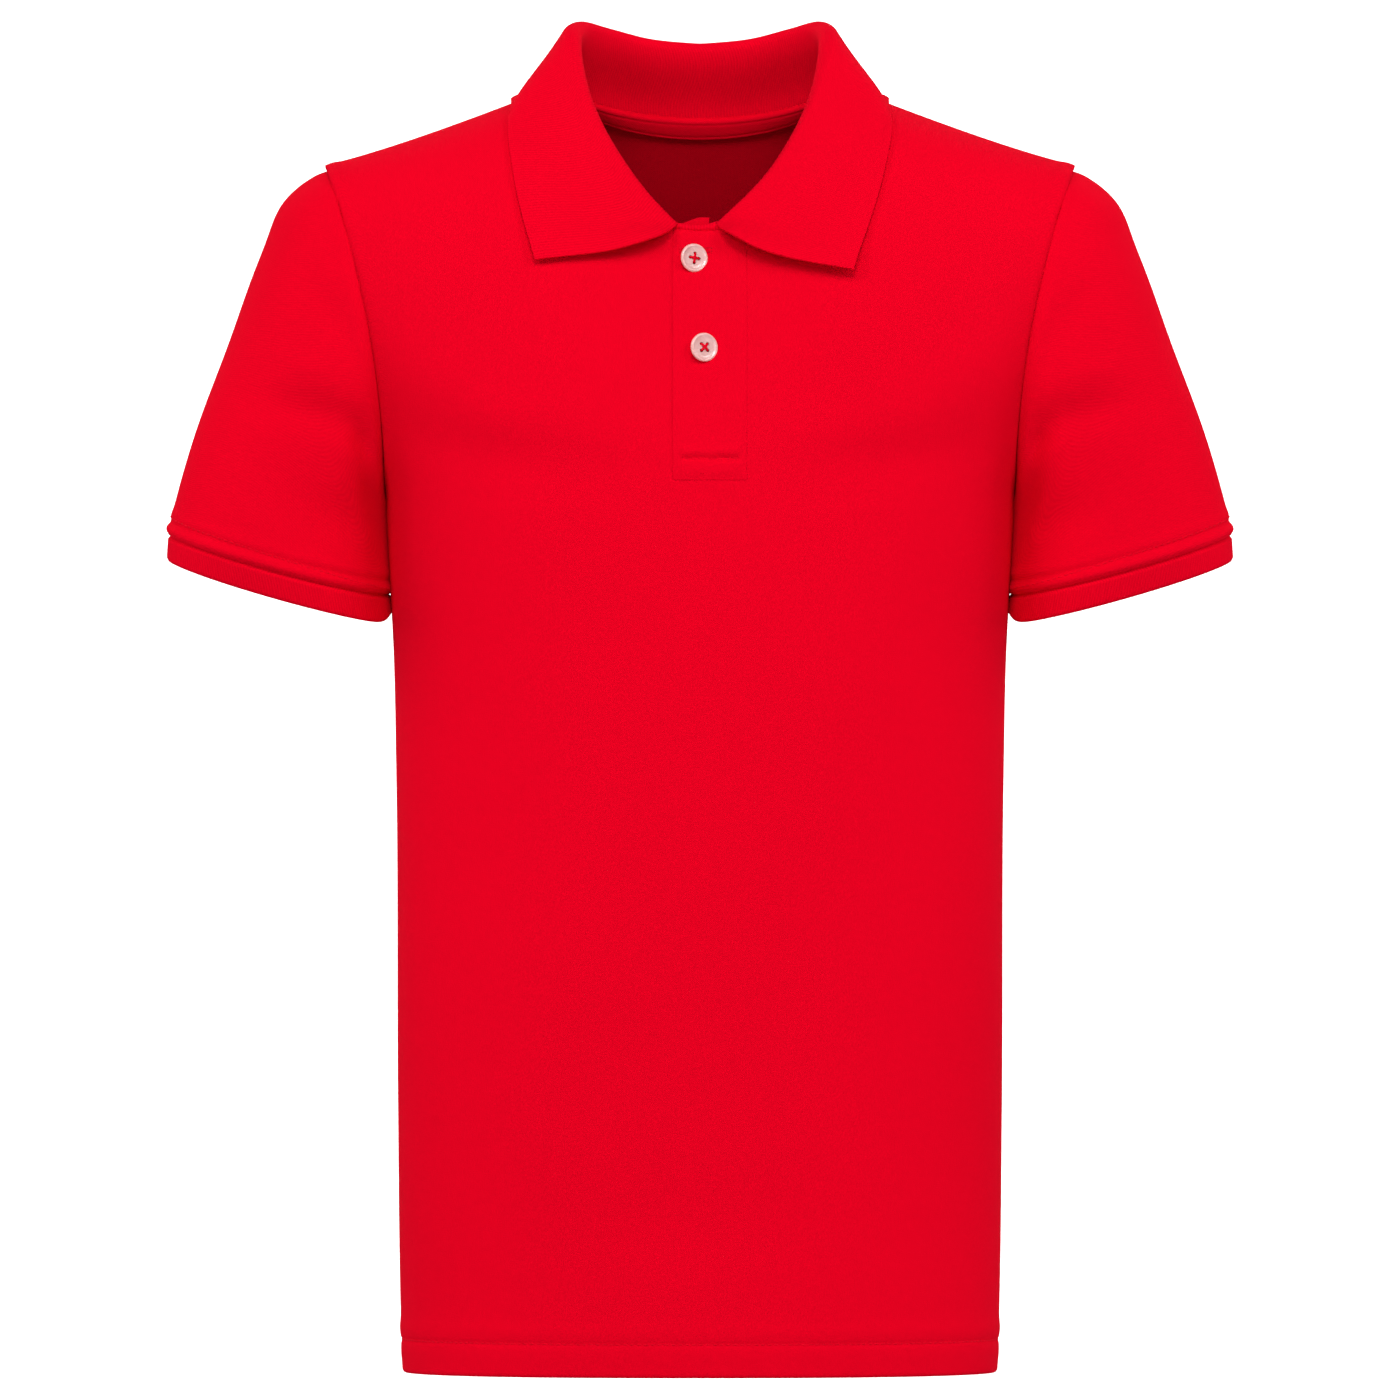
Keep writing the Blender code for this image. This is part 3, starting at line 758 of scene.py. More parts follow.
@dataclass(frozen=True)
class Form:
    """The shirt's shape: sections of the body, the shoulders, the neckline and the armhole.

    The neck in front and behind has its depth, its drop and how its line bends. A section gives
    its height, half its width and its depths in front and behind. The upper body falls to its
    edge by a power and from a cut, each given at the neck and at the shoulder.
    """

    neck_half_width: float = 62.0
    neck_front: tuple = (-58.0, 64.0, 1.3)
    neck_back: tuple = (56.0, 14.0, 1.5)
    shoulder_x: float = 165.0
    shoulder_drop: float = 35.5
    shoulder_bow: float = 1.15
    underarm_x: float = 138.5
    underarm_z: float = -181.0
    armhole_half_depth: float = 50.0
    hem_z: float = -566.0
    chest_depth: float = 100.6
    back_depth: float = 98.0
    squareness: float = 2.4
    fall_power: tuple = (1.6, 2.5)
    fall_cut: tuple = (0.84, 1.0)
    edge_power: float = 2.5
    neck_reach: float = 80.0
    seam: float = -0.06
    sections: tuple = (
        (-566.0, 130.9, 95.0, 95.0),
        (-535.0, 131.8, 95.5, 94.0),
        (-446.0, 132.9, 97.0, 92.0),
        (-306.0, 133.6, 100.0, 92.0),
        (-245.0, 135.0, 101.4, 95.0),
        (-208.0, 137.2, 101.2, 97.3),
        (-181.0, 138.5, 100.6, 98.0),
        (-159.0, 138.5, 99.8, 98.0),
    )

    @property
    def flare(self) -> float:
        """Return how much wider the shoulders are than the body under the arms."""
        return self.shoulder_x / self.underarm_x - 1.0

    def shoulder_height(self, x: np.ndarray) -> np.ndarray:
        """Return the shoulder seam's height at a distance from the middle."""
        t = (np.abs(x) - self.neck_half_width) / (self.shoulder_x - self.neck_half_width)
        return -self.shoulder_drop * (1.0 - (1.0 - t.clip(0.0, 1.0)) ** self.shoulder_bow)

    def top_edge(self, x: np.ndarray, face: Face) -> tuple[np.ndarray, np.ndarray]:
        """Follow the neckline and the shoulder seam.

        Args:
            x: Distance from the middle.
            face: Front or back.

        Returns:
            The depth and the height at x.
        """
        x = np.asarray(x, float)
        c = np.sqrt((1.0 - (x / self.neck_half_width) ** 2).clip(0.0, 1.0))
        depth, drop, bend = self.neck_front if face is Face.FRONT else self.neck_back
        on_neck = np.abs(x) < self.neck_half_width
        return depth * c, np.where(on_neck, -drop * c ** bend, self.shoulder_height(x))

    def top_x(self, u: np.ndarray) -> np.ndarray:
        """Return where a column of the panel meets the top edge."""
        return self.underarm_x * u * (1.0 + self.flare * u * u)

    def column(self, x: np.ndarray) -> np.ndarray:
        """Find the column whose top lies at x.

        Args:
            x: Place along the top edge.

        Returns:
            The column, from -1 to 1.
        """
        u = np.asarray(x, float) / self.shoulder_x
        for _ in range(30):
            u = u - (self.top_x(u) - x) / (self.underarm_x * (1.0 + 3.0 * self.flare * u * u))
        return u

    def low(self, u: np.ndarray, z: float, face: Face) -> np.ndarray:
        """Return points of the body below the arms.

        Args:
            u: Columns, from -1 to 1.
            z: Height.
            face: Front or back.

        Returns:
            The points in millimetres.
        """
        table = np.array(self.sections)
        half, front, back = through(z, table[:, 0], table[:, 1:])
        depth = front if face is Face.FRONT else back
        y = depth * (1.0 - np.abs(u) ** self.squareness).clip(0.0) ** (1.0 / self.squareness)
        return np.stack([half * u, face.value * (y + self.seam), z + 0.0 * u], -1)

    def high(self, u: np.ndarray, t: np.ndarray, face: Face) -> np.ndarray:
        """Return points of the chest or the upper back.

        Args:
            u: Column, from -1 to 1.
            t: Height, from 0 under the arms to 1 at the top edge.
            face: Front or back.

        Returns:
            The points in millimetres.
        """
        x_top = self.top_x(u)
        y_top, z_top = self.top_edge(x_top, face)
        to_side = blend(np.abs(x_top), 0.0, self.neck_reach)
        power, cut = (a + (b - a) * to_side for a, b in (self.fall_power, self.fall_cut))
        rest = (1.0 - cut ** power).clip(0.0) ** (1.0 / power)
        fall = ((1.0 - (cut * t) ** power).clip(0.0) ** (1.0 / power) - rest) / (1.0 - rest)
        edge_fall = np.maximum(
            (1.0 - t ** self.edge_power).clip(0.0) ** (1.0 / self.edge_power), 0.02)
        edge = self.armhole_half_depth * np.sqrt((4.0 * t * (1.0 - t)).clip(0.0))
        depth = self.chest_depth if face is Face.FRONT else self.back_depth
        n = self.squareness
        side_open = 1.0 - (edge / (edge_fall * depth)).clip(0.0, 0.999) ** n
        section = depth * (1.0 - side_open * np.abs(u) ** n).clip(0.0) ** (1.0 / n)
        x = self.underarm_x * u * (1.0 + self.flare * (u * t) ** 2)
        y = y_top * (1.0 - fall) + face.value * (fall * section + self.seam)
        return np.stack([x, y, self.underarm_z + (z_top - self.underarm_z) * t], -1)

    def armhole(self, g: np.ndarray) -> np.ndarray:
        """Return points of the armhole's edge.

        Args:
            g: Angles from the shoulder point, forward.

        Returns:
            The points in millimetres.
        """
        t = (1.0 + np.cos(np.radians(g))) / 2.0
        z = self.underarm_z + (-self.shoulder_drop - self.underarm_z) * t
        y = -self.armhole_half_depth * np.sin(np.radians(g))
        x = self.underarm_x + (self.shoulder_x - self.underarm_x) * t * t
        return np.stack([x, y, z], -1)


@dataclass(frozen=True)
class Hem:
    """The turned up hem: a stitched line with the cloth puffed to either side.

    A swell gives its height above the stitched line, its width and its rise.
    """

    turn: float = 14.5
    swells: tuple = ((0.0, 0.9, -0.55), (5.0, 4.0, 0.55), (-5.0, 4.5, 0.35), (-14.8, 0.9, -0.9))

    def rise(self, above: np.ndarray) -> np.ndarray:
        """Return how far the cloth stands out at a height above the edge."""
        return bells(above - self.turn, self.swells)


@dataclass(frozen=True)
class Panel:
    """The front or the back of the body.

    Swells beside the armhole, the side seam and the top edge give their distance from it, their
    width and their rise.
    """

    form: Form
    face: Face
    folds: tuple
    slit: tuple | None = None
    slit_foot: float = -174.0
    wall: float = 1.1
    neck_step: float = 3.4
    shoulder_steps: int = 30
    slit_columns: int = 13
    slit_clear: float = 1.5
    fine_reach: float = 26.0
    fine_step: float = 1.05
    lower_step: float = 3.4
    upper_rows: int = 62
    fold_reach: float = 60.0
    ease_rows: tuple = (7, 16)
    ease_passes: int = 60
    ease_steps: int = 100
    ease_reach: int = 16
    ease_step: float = 1.5
    ease_width: float = 11.0
    neck_width: float = 34.0
    neck_clear: float = 3.0
    side_reach: float = 0.05
    underarm_fade: tuple = (-2.0, 14.0)
    armhole_swells: tuple = ((3.8, 2.8, 0.40), (0.0, 1.0, -0.25))
    side_swells: tuple = ((0.0, 1.1, -0.45),)
    top_swells: tuple = ((3.0, 2.4, 0.35), (0.0, 1.0, -0.40))
    hem_column: int = 5
    cut: tuple = (0.42, 0.61)
    hem: Hem = Hem()

    def columns(self) -> np.ndarray:
        """Work out where the columns meet the top edge.

        Returns:
            Their distances from the middle, rising.
        """
        f = self.form
        neck = f.neck_half_width * np.sin(np.radians(np.arange(3.0, 90.0, self.neck_step)))
        steps = np.arange(self.shoulder_steps + 1) / self.shoulder_steps
        shoulder = f.neck_half_width + (f.shoulder_x - f.neck_half_width) * np.sin(
            steps * math.pi / 2.0)
        half = np.concatenate([neck, shoulder])
        if self.slit is None:
            return np.concatenate([-half[::-1], [0.0], half])
        left, right = self.slit
        x = np.concatenate([-half[::-1], half])
        x = x[(x < left - self.slit_clear) | (x > right + self.slit_clear)]
        return np.sort(np.concatenate([x, np.linspace(left, right, self.slit_columns)]))

    @cached_property
    def surface(self) -> tuple[np.ndarray, np.ndarray, int]:
        """Work out the panel's surface.

        Returns:
            The points, the columns' tops and the row at the slit's foot.
        """
        f = self.form
        x = self.columns()
        u = f.column(x)
        fine = np.arange(f.hem_z, f.hem_z + self.fine_reach, self.fine_step)
        coarse = np.arange(fine[-1] + self.lower_step, f.underarm_z - 1.0, self.lower_step)
        t = (1.0 - np.cos(np.pi * np.arange(self.upper_rows + 1) / self.upper_rows)) / 2.0
        foot_t = (self.slit_foot - f.underarm_z) / (-f.neck_front[1] - f.underarm_z)
        t[np.abs(t - foot_t).argmin()] = foot_t
        rows = [f.low(u, z, self.face) for z in np.concatenate([fine, coarse])]
        rows += [f.high(u, np.full(u.shape, v), self.face) for v in t]
        points = np.array(rows)
        middle = len(fine) + len(coarse)
        foot_row = middle + int(np.abs(t - foot_t).argmin())
        points = self.ease_neck(self.soften(points, u, middle))
        return self.shape(points, u), x, foot_row

    def soften(self, points: np.ndarray, u: np.ndarray, middle: int) -> np.ndarray:
        """Ease the rows about the underarm line into one curve.

        Args:
            points: The panel's grid.
            u: Its columns.
            middle: Its row at the underarm.

        Returns:
            The grid, its sides unchanged.
        """
        keep = (np.abs(u) ** 40)[None, :, None]
        span = slice(middle - self.ease_rows[0], middle + self.ease_rows[1])
        for _ in range(self.ease_passes):
            mean = points.copy()
            mean[1:-1] = points[1:-1] * 0.5 + (points[:-2] + points[2:]) * 0.25
            points[span] = points[span] * keep + mean[span] * (1.0 - keep)
        return points

    def ease_neck(self, points: np.ndarray) -> np.ndarray:
        """Round the crease that the neck's corners would run down into the panel.

        Args:
            points: The panel's grid.

        Returns:
            The grid, its top edge unchanged.
        """
        even = np.arange(-self.ease_steps, self.ease_steps + 1) * self.ease_step
        window = np.arange(-self.ease_reach, self.ease_reach + 1) * self.ease_step
        bell = bump(window, 0.0, self.ease_width)
        to_top = np.linalg.norm(points - points[-1:], axis=-1)
        beside = bump(np.abs(points[..., 0]), self.form.neck_half_width, self.neck_width)
        share = blend(to_top, self.neck_clear, self.neck_width) * beside
        for i in np.where(points[:, 0, 2] > self.form.underarm_z)[0]:
            for c in (1, 2):
                line = np.interp(even, points[i, :, 0], points[i, :, c])
                padded = np.pad(line, len(bell) // 2, mode="edge")
                smooth = np.convolve(padded, bell / bell.sum(), mode="valid")
                eased = np.interp(points[i, :, 0], even, smooth)
                points[i, :, c] += (eased - points[i, :, c]) * share[i]
        return points

    def shape(self, points: np.ndarray, u: np.ndarray) -> np.ndarray:
        """Lay folds, seams and hem on the smooth surface.

        Args:
            points: The smooth grid.
            u: Its columns.

        Returns:
            The shaped grid.
        """
        f = self.form
        normals = grid_normals(points) * -float(self.face.value)
        z = points[..., 2]
        above = z - f.hem_z
        at_edge = blend(1.0 - np.abs(u), 0.0, self.side_reach)[None, :]
        rise = fold_height(points, self.folds) * blend(above, 0.0, self.fold_reach) * at_edge
        rise += self.hem.rise(above)
        near = np.minimum(np.linalg.norm(points - points[:, :1], axis=-1),
                          np.linalg.norm(points - points[:, -1:], axis=-1))
        upper = blend(z - f.underarm_z, *self.underarm_fade)
        rise += upper * bells(near, self.armhole_swells)
        rise += (1.0 - upper) * bells(near, self.side_swells)
        rise += bells(np.linalg.norm(points - points[-1:], axis=-1), self.top_swells)
        return points + normals * rise[..., None]

    def build(self, wardrobe: Wardrobe) -> bpy.types.Object:
        """Make the panel.

        Args:
            wardrobe: The finishes.

        Returns:
            The piece.
        """
        points, x, foot_row = self.surface
        keep = None
        if self.slit is not None:
            left, right = self.slit
            inside = (x[:-1] > left - 0.1) & (x[1:] < right + 0.1)

            def keep(i: int, j: int) -> bool:
                """Say whether a cell lies outside the slit."""
                return i < foot_row or not inside[j]

        name = "front" if self.face is Face.FRONT else "back"
        obj = grid_object(name + "_cloth", points, flat_place(points), keep=keep,
                          flip=self.face is Face.BACK)
        wardrobe.wall(obj, self.wall)
        return wardrobe.dress(obj, wardrobe.pique, Slot.CLOTH, name)

    def hem_stitches(self, threads: Threads) -> None:
        """Add the hem's row of stitches.

        Args:
            threads: Where the stitches go.
        """
        points = self.surface[0]
        normals = grid_normals(points) * -float(self.face.value)
        above = points[:, self.hem_column, 2] - self.form.hem_z
        row = int(np.abs(above - self.hem.turn).argmin())
        threads.run(points[row, 1:-1], normals[row, 1:-1])


class Ground:
    """A panel's full surface, to lay other pieces on."""

    outside = 400.0

    def __init__(self, points: np.ndarray, face: Face) -> None:
        """Keep a panel's grid in a search tree.

        Args:
            points: The grid.
            face: Which way the panel faces.
        """
        self.face = face
        rows, cols = points.shape[:2]
        faces = [(i * cols + j, i * cols + j + 1, (i + 1) * cols + j + 1, (i + 1) * cols + j)
                 for i in range(rows - 1) for j in range(cols - 1)]
        self.tree = BVHTree.FromPolygons(points.reshape(-1, 3).tolist(), faces)

    def at(self, x: np.ndarray, z: np.ndarray) -> np.ndarray:
        """Find the surface's points seen at x, z.

        Args:
            x: Places across.
            z: Heights.

        Returns:
            A point for each place.
        """
        out = []
        way = float(self.face.value)
        for a, c in zip(np.ravel(x), np.ravel(z)):
            start = Vector((a, self.outside * way, c))
            hit = self.tree.ray_cast(start, Vector((0.0, -way, 0.0)))[0]
            out.append(tuple(hit) if hit is not None else (a, math.nan, c))
        return np.array(out).reshape(np.shape(x) + (3,))


@dataclass(frozen=True)
class Arm:
    """A sleeve and its cuff, given for the wearer's left and mirrored for the right.

    A rib gives its angle from the top, and the slope and the pull of its line at the armhole and
    at the sleeve's end. A cap swells the outer side at a height. Swells give their distance from
    the edge, their width and their rise.
    """

    form: Form
    side: Side
    front_folds: tuple
    back_folds: tuple
    end: tuple = (184.9, -4.0, -210.5)
    half_width: float = 50.2
    half_depth: float = 40.0
    tilt: float = 15.0
    bow: float = 4.0
    wall: float = 1.0
    cuff_wall: float = 1.3
    tuck: float = 2.1
    lap: float = 2.0
    seam: float = -0.15
    clear: float = -0.2
    caps: tuple = ((-54.0, 12.0, 3.2), (-110.0, 36.0, -2.8))
    cuff_drop: float = 12.5
    cuff_tuck: float = 0.04
    cuff_inset: float = 1.9
    cuff_shown: float = 0.8
    cuff_corner: float = 0.34
    cuff_draw: float = 0.40
    cuff_short: float = 0.02
    cuff_lean: float = 0.05
    cuff_spread: float = 0.06
    cuff_fold: tuple = (0.4, 2.6)
    cuff_edge: tuple = (0.8, 0.7)
    cuff_rows: int = 26
    corner_width: float = 17.0
    under_reach: tuple = (16.0, 52.0)
    rest_below: float = 4.0
    facing: tuple = (-0.15, 0.45)
    armhole_fade: tuple = (2.0, 14.0)
    end_fade: tuple = (3.0, 16.0)
    wall_fade: float = 14.0
    crowding: float = 1.35
    end_swells: tuple = ((9.0, 2.4, 0.40), (5.9, 1.3, -0.40), (2.5, 2.0, 0.95), (0.0, 0.8, -0.75))
    armhole_swells: tuple = ((6.0, 3.0, 0.25), (0.0, 1.6, -0.20))
    under_swells: tuple = ((0.0, 1.4, -0.5),)
    stitch_line: float = 5.8
    cut: tuple = (0.34, 0.20)
    cuff_cut: tuple = (0.28, 0.019)
    ribs: tuple = (
        (0.0, 24.0, 36.0, 76.0, 48.0),
        (90.0, 44.0, 34.0, 80.0, 40.0),
        (150.0, 76.0, 18.0, 90.0, 20.0),
        (180.0, 112.0, 13.0, 92.0, 12.0),
    )
    ring: int = 150
    rows: int = 120

    @property
    def name(self) -> str:
        """Return the side's name."""
        return self.side.name.lower()

    def end_ring(self, g: np.ndarray, drop: float, grow: float) -> np.ndarray:
        """Return points of the sleeve's end, or of a ring a drop below it.

        Args:
            g: Angles from the top, forward.
            drop: How far the ring lies below the end.
            grow: How far it lies outside it.

        Returns:
            The points in millimetres.
        """
        a, b = np.radians(g), math.radians(self.tilt)
        out = np.cos(a) * (self.half_width + grow)
        x = self.end[0] + out * math.cos(b)
        y = self.end[1] - np.sin(a) * (self.half_depth + grow - self.cuff_draw * drop)
        z = self.end[2] + out * math.sin(b) - self.bow * np.sin(a) - drop
        return np.stack([x, y, z], -1)

    def sleeve_point(self, g: np.ndarray, v: float) -> np.ndarray:
        """Return points of the smooth sleeve.

        Args:
            g: Angles from the shoulder point, forward.
            v: Place from 0 at the armhole to 1 at the end.

        Returns:
            The points in millimetres.
        """
        ribs = np.array(self.ribs)
        from_top = 180.0 - np.abs(180.0 - np.mod(g, 360.0))
        slope0, pull0, slope1, pull1 = through(from_top, ribs[:, 0], ribs[:, 1:]).T
        edge = self.form.armhole(g)
        middle = np.array([0.0, 0.0, (self.form.underarm_z - self.form.shoulder_drop) / 2.0])
        inward = unit((middle - edge) * np.array([0.0, 1.0, 1.0]))
        under = 1.0 - blend(from_top, *self.under_reach)
        start = edge + inward * (self.seam + (self.tuck - self.seam) * under)[:, None]
        start[:, 0] += self.seam - (self.lap + self.seam) * under
        end = self.end_ring(g, 0.0, 0.0)
        a0, a1 = np.radians(slope0), np.radians(slope1)
        p1 = start + np.stack([np.cos(a0), 0 * a0, -np.sin(a0)], -1) * pull0[:, None]
        p2 = end + np.stack([-np.cos(a1), 0 * a1, np.sin(a1)], -1) * pull1[:, None]
        return bezier(start, p1, p2, end, np.full(g.shape, v))

    def beside_body(self, points: np.ndarray) -> np.ndarray:
        """Keep points off the side of the body, as cloth that rests on it.

        Args:
            points: Points of the left arm.

        Returns:
            The points.
        """
        f = self.form
        table = np.array(f.sections)
        y, z = points[..., 1], points[..., 2]
        half, front, back = np.moveaxis(through(z, table[:, 0], table[:, 1:]), -1, 0)
        share = (np.abs(y) / np.where(y < 0.0, front, back)).clip(0.0, 1.0)
        body = half * (1.0 - share ** f.squareness) ** (1.0 / f.squareness) + self.clear
        x = points[..., 0]
        x = np.where(z < f.underarm_z - self.rest_below, np.maximum(x, body), x)
        return np.stack([x, y, z], -1)

    def angles(self) -> np.ndarray:
        """Return the ring's angles, starting at the underarm."""
        return 180.0 + np.arange(self.ring) * 360.0 / self.ring

    def from_under(self) -> np.ndarray:
        """Return how far each angle of the ring lies from the underarm seam."""
        g = self.angles()
        return np.minimum(np.mod(g - 180.0, 360.0), np.mod(180.0 - g, 360.0))

    def sleeve_grid(self) -> np.ndarray:
        """Work out the sleeve's shaped surface.

        Returns:
            Its grid, from the armhole to its end.
        """
        g = self.angles()
        v = 1.0 - (1.0 - np.linspace(0.0, 1.0, self.rows)) ** self.crowding
        points = np.array([self.sleeve_point(g, t) for t in v])
        normals = grid_normals(points, closed=True)
        normals *= np.sign(((points - points.mean(axis=1, keepdims=True)) * normals).sum())
        down = runs(points, 0)
        left = down[-1:] - down
        ahead = -normals[..., 1]
        rise = fold_height(points, self.front_folds) * blend(ahead, *self.facing)
        rise += fold_height(points, self.back_folds) * blend(-ahead, *self.facing)
        rise *= blend(down, *self.armhole_fade) * blend(left, *self.end_fade)
        outward = normals[..., 0].clip(0.0)
        for height, width, swell in self.caps:
            rise += swell * bump(points[..., 2], height, width) * outward
        rise += bells(left, self.end_swells) + bells(down, self.armhole_swells)
        rise += bells(self.from_under()[None, :], self.under_swells)
        rise += self.wall * blend(down, 0.0, self.wall_fade)
        return self.beside_body(points + normals * rise[..., None])

    def cuff_grid(self) -> np.ndarray:
        """Work out the cuff's surface.

        Returns:
            Its grid, from inside the sleeve to its lower edge.
        """
        g = self.angles()
        drops = np.linspace(0.0, self.cuff_drop, self.cuff_rows)
        share = 1.0 - self.cuff_corner * bump(self.from_under(), 0.0, self.corner_width)
        share -= self.cuff_short + self.cuff_lean * np.cos(np.radians(g))
        points = np.array([self.sleeve_point(g, 1.0 - self.cuff_tuck)]
                          + [self.end_ring(g, d * share, self.cuff_spread * d) for d in drops])
        out = unit(points - points.mean(axis=1, keepdims=True))
        width, turn = self.cuff_edge
        inset = self.cuff_inset + (self.cuff_shown - self.cuff_inset) * blend(
            drops, *self.cuff_fold)
        inset += turn * bump(drops, self.cuff_drop, width)
        inset = np.concatenate([[self.cuff_inset], inset])[:, None, None] - self.cuff_wall
        return self.beside_body(points - out * inset)

    def build(self, wardrobe: Wardrobe, threads: Threads) -> tuple:
        """Make the sleeve, its cuff and their stitches.

        Args:
            wardrobe: The finishes.
            threads: Where the stitches go.

        Returns:
            The sleeve and the cuff.
        """
        mirror = np.array([self.side.value, 1.0, 1.0])
        pieces = []
        for part, grid, wall, finish, slot in (
                ("sleeve", self.sleeve_grid(), self.wall, wardrobe.pique, Slot.CLOTH),
                ("cuff", self.cuff_grid(), self.cuff_wall, wardrobe.rib, Slot.RIB)):
            points = grid * mirror
            node = "%s_%s" % (part, self.name)
            obj = grid_object("%s_%s" % (node, slot.value), points, flat_place(points, True),
                              closed=True, flip=self.side is Side.RIGHT)
            wardrobe.wall(obj, wall)
            pieces.append(wardrobe.dress(obj, finish, slot, node))
            if slot is Slot.CLOTH:
                self.end_stitches(points, threads)
        return tuple(pieces)

    def end_stitches(self, points: np.ndarray, threads: Threads) -> None:
        """Add the row of stitches round the sleeve's end.

        Args:
            points: The sleeve's grid.
            threads: Where the stitches go.
        """
        down = runs(points, 0)
        row = int(np.abs(down[-1].mean() - down.mean(axis=1) - self.stitch_line).argmin())
        ring = np.concatenate([points[row], points[row, :1]])
        threads.run(ring, unit(ring - points[row].mean(axis=0)))


@dataclass(frozen=True)
class Collar:
    """The knitted collar: a stand, a rolled fold and a leaf that lies on the shoulders.

    A section gives its angle on the neckline from the middle front, the fold's x, y, z, the
    fold's roll and the leaf edge's x, z. Stand-off and belly are the wearer's right and left. A
    fade gives the angles between which a shift goes. A pull is a share of the length that shapes
    a curve at its start and at its end. The leaf's slope is held between two angles.
    """

    form: Form
    sections: tuple = (
        (9.5, 10.6, -60.5, -63.3, 1.5, 71.8, -79.2),
        (28.0, 24.0, -57.0, -49.2, 2.0, 77.0, -61.5),
        (45.0, 35.6, -50.0, -33.8, 2.4, 80.4, -47.0),
        (60.0, 45.4, -40.0, -17.6, 2.8, 82.6, -33.0),
        (76.0, 53.2, -27.0, 1.0, 3.2, 83.6, -20.0),
        (92.0, 56.9, -8.0, 20.0, 3.6, 81.8, -11.0),
        (110.0, 54.0, 14.0, 27.2, 3.8, 78.6, -12.8),
        (132.0, 41.0, 34.0, 25.0, 3.6, 66.0, -19.0),
        (156.0, 22.0, 46.5, 20.6, 3.4, 39.0, -23.5),
        (180.0, 0.0, 51.0, 18.6, 3.4, 0.0, -25.5),
    )
    tip_shift: tuple = (-5.0, -5.2)
    end_shift: tuple = (-2.8, -2.6)
    wall: float = 1.2
    clearance: float = 0.3
    stand_off: tuple = (6.5, 7.5)
    belly: tuple = (4.8, 5.6)
    beside: float = 0.6
    foot_lift: float = 0.7
    stand_pull: tuple = (0.35, 0.3)
    leaf_pull: tuple = (0.16, 0.3)
    leaf_slope: tuple = (4.0, 62.0)
    roll_side: tuple = (0.7, 0.3)
    swell: tuple = (0.8, 5.0)
    swell_place: tuple = (84.0, 20.0)
    back_start: float = 100.0
    shoulder_clear: float = 1.5
    edge_press: float = 0.4
    edge_width: float = 0.04
    full_from: float = 0.14
    stand_off_place: tuple = (0.27, 0.28)
    rounding: float = 0.55
    tip_fade: tuple = (15.0, 75.0)
    end_fade: tuple = (10.0, 45.0)
    belly_reach: float = 38.0
    stand_off_reach: float = 13.0
    stand_off_even: tuple = (0.25, 0.6)
    edge_passes: int = 24
    settle_passes: int = 6
    stations: int = 221
    stand_steps: int = 15
    crown_steps: int = 13
    leaf_steps: int = 41
    cut: tuple = (0.37, 0.073)

    @property
    def leaf_start(self) -> int:
        """Return the column where the fold passes into the leaf."""
        return self.stand_steps + self.crown_steps - 2

    def foot(self, angle: float) -> np.ndarray:
        """Find the stand's foot on the wearer's left.

        Args:
            angle: Angle round the neck from the middle front.

        Returns:
            The point in millimetres.
        """
        a = math.radians(angle)
        face = Face.FRONT if angle < 90.0 else Face.BACK
        x = min(self.form.neck_half_width * math.sin(a), self.form.neck_half_width - 0.001)
        y, z = self.form.top_edge(np.array(x), face)
        return np.array([x, float(y), float(z) + self.foot_lift])

    def section(self, angle: float, fold: np.ndarray, roll: float, edge: np.ndarray,
                out: np.ndarray) -> np.ndarray:
        """Work out one section from the foot over the fold to the leaf's edge.

        Args:
            angle: Angle round the neck.
            fold: The fold's top.
            roll: The fold's radius.
            edge: The leaf's edge.
            out: Level direction from the neck outward.

        Returns:
            Points of the section.
        """
        foot = self.foot(angle)
        up = np.array([0.0, 0.0, 1.0])
        height = fold[2] - foot[2]
        inner = fold - out * roll - up * roll
        first, final = self.stand_pull
        stand = bezier(foot, foot + up * height * first, inner - up * height * final, inner,
                       np.linspace(0.0, 1.0, self.stand_steps))
        leaf = edge - (fold + out * roll * self.roll_side[0] - up * roll * self.roll_side[1])
        last = math.degrees(math.atan2(leaf @ out, -(leaf @ up)))
        last = min(max(last, self.leaf_slope[0]), self.leaf_slope[1])
        turn = np.radians(np.linspace(180.0, last, self.crown_steps)[1:])[:, None]
        crown = fold + out * roll * np.cos(turn) + up * roll * (np.sin(turn) - 1.0)
        start = crown[-1]
        way = out * math.sin(math.radians(last)) - up * math.cos(math.radians(last))
        leaf = edge - start
        length = np.linalg.norm(leaf)
        swell = self.swell[0] + self.swell[1] * float(bump(angle, *self.swell_place))
        first, final = self.leaf_pull
        lay = bezier(start, start + (way * length + leaf) * first,
                     edge - leaf * final + out * swell, edge,
                     np.linspace(0.0, 1.0, self.leaf_steps)[1:])
        return np.concatenate([stand, crown, lay])

    def edge(self, ground: dict, x: float, z: float, angle: float, side: int) -> np.ndarray:
        """Lay a point of the leaf's edge on the panel below it.

        Args:
            ground: The two panels' surfaces by face.
            x: The point's distance from the middle.
            z: Its height.
            angle: Its angle round the neck.
            side: 1 on the wearer's left and -1 on the right, where it is mirrored.

        Returns:
            The point, as on the left.
        """
        lift = self.clearance + self.wall
        face = Face.BACK if angle > self.back_start else Face.FRONT
        shoulder = self.form.shoulder_height(np.array(x))
        if shoulder < z + self.shoulder_clear and x > self.form.neck_half_width:
            return np.array([x, 0.0, z + lift])
        p = ground[face].at(np.array([side * x]), np.array([z]))[0]
        return np.array([x, p[1] + face.value * lift, z])

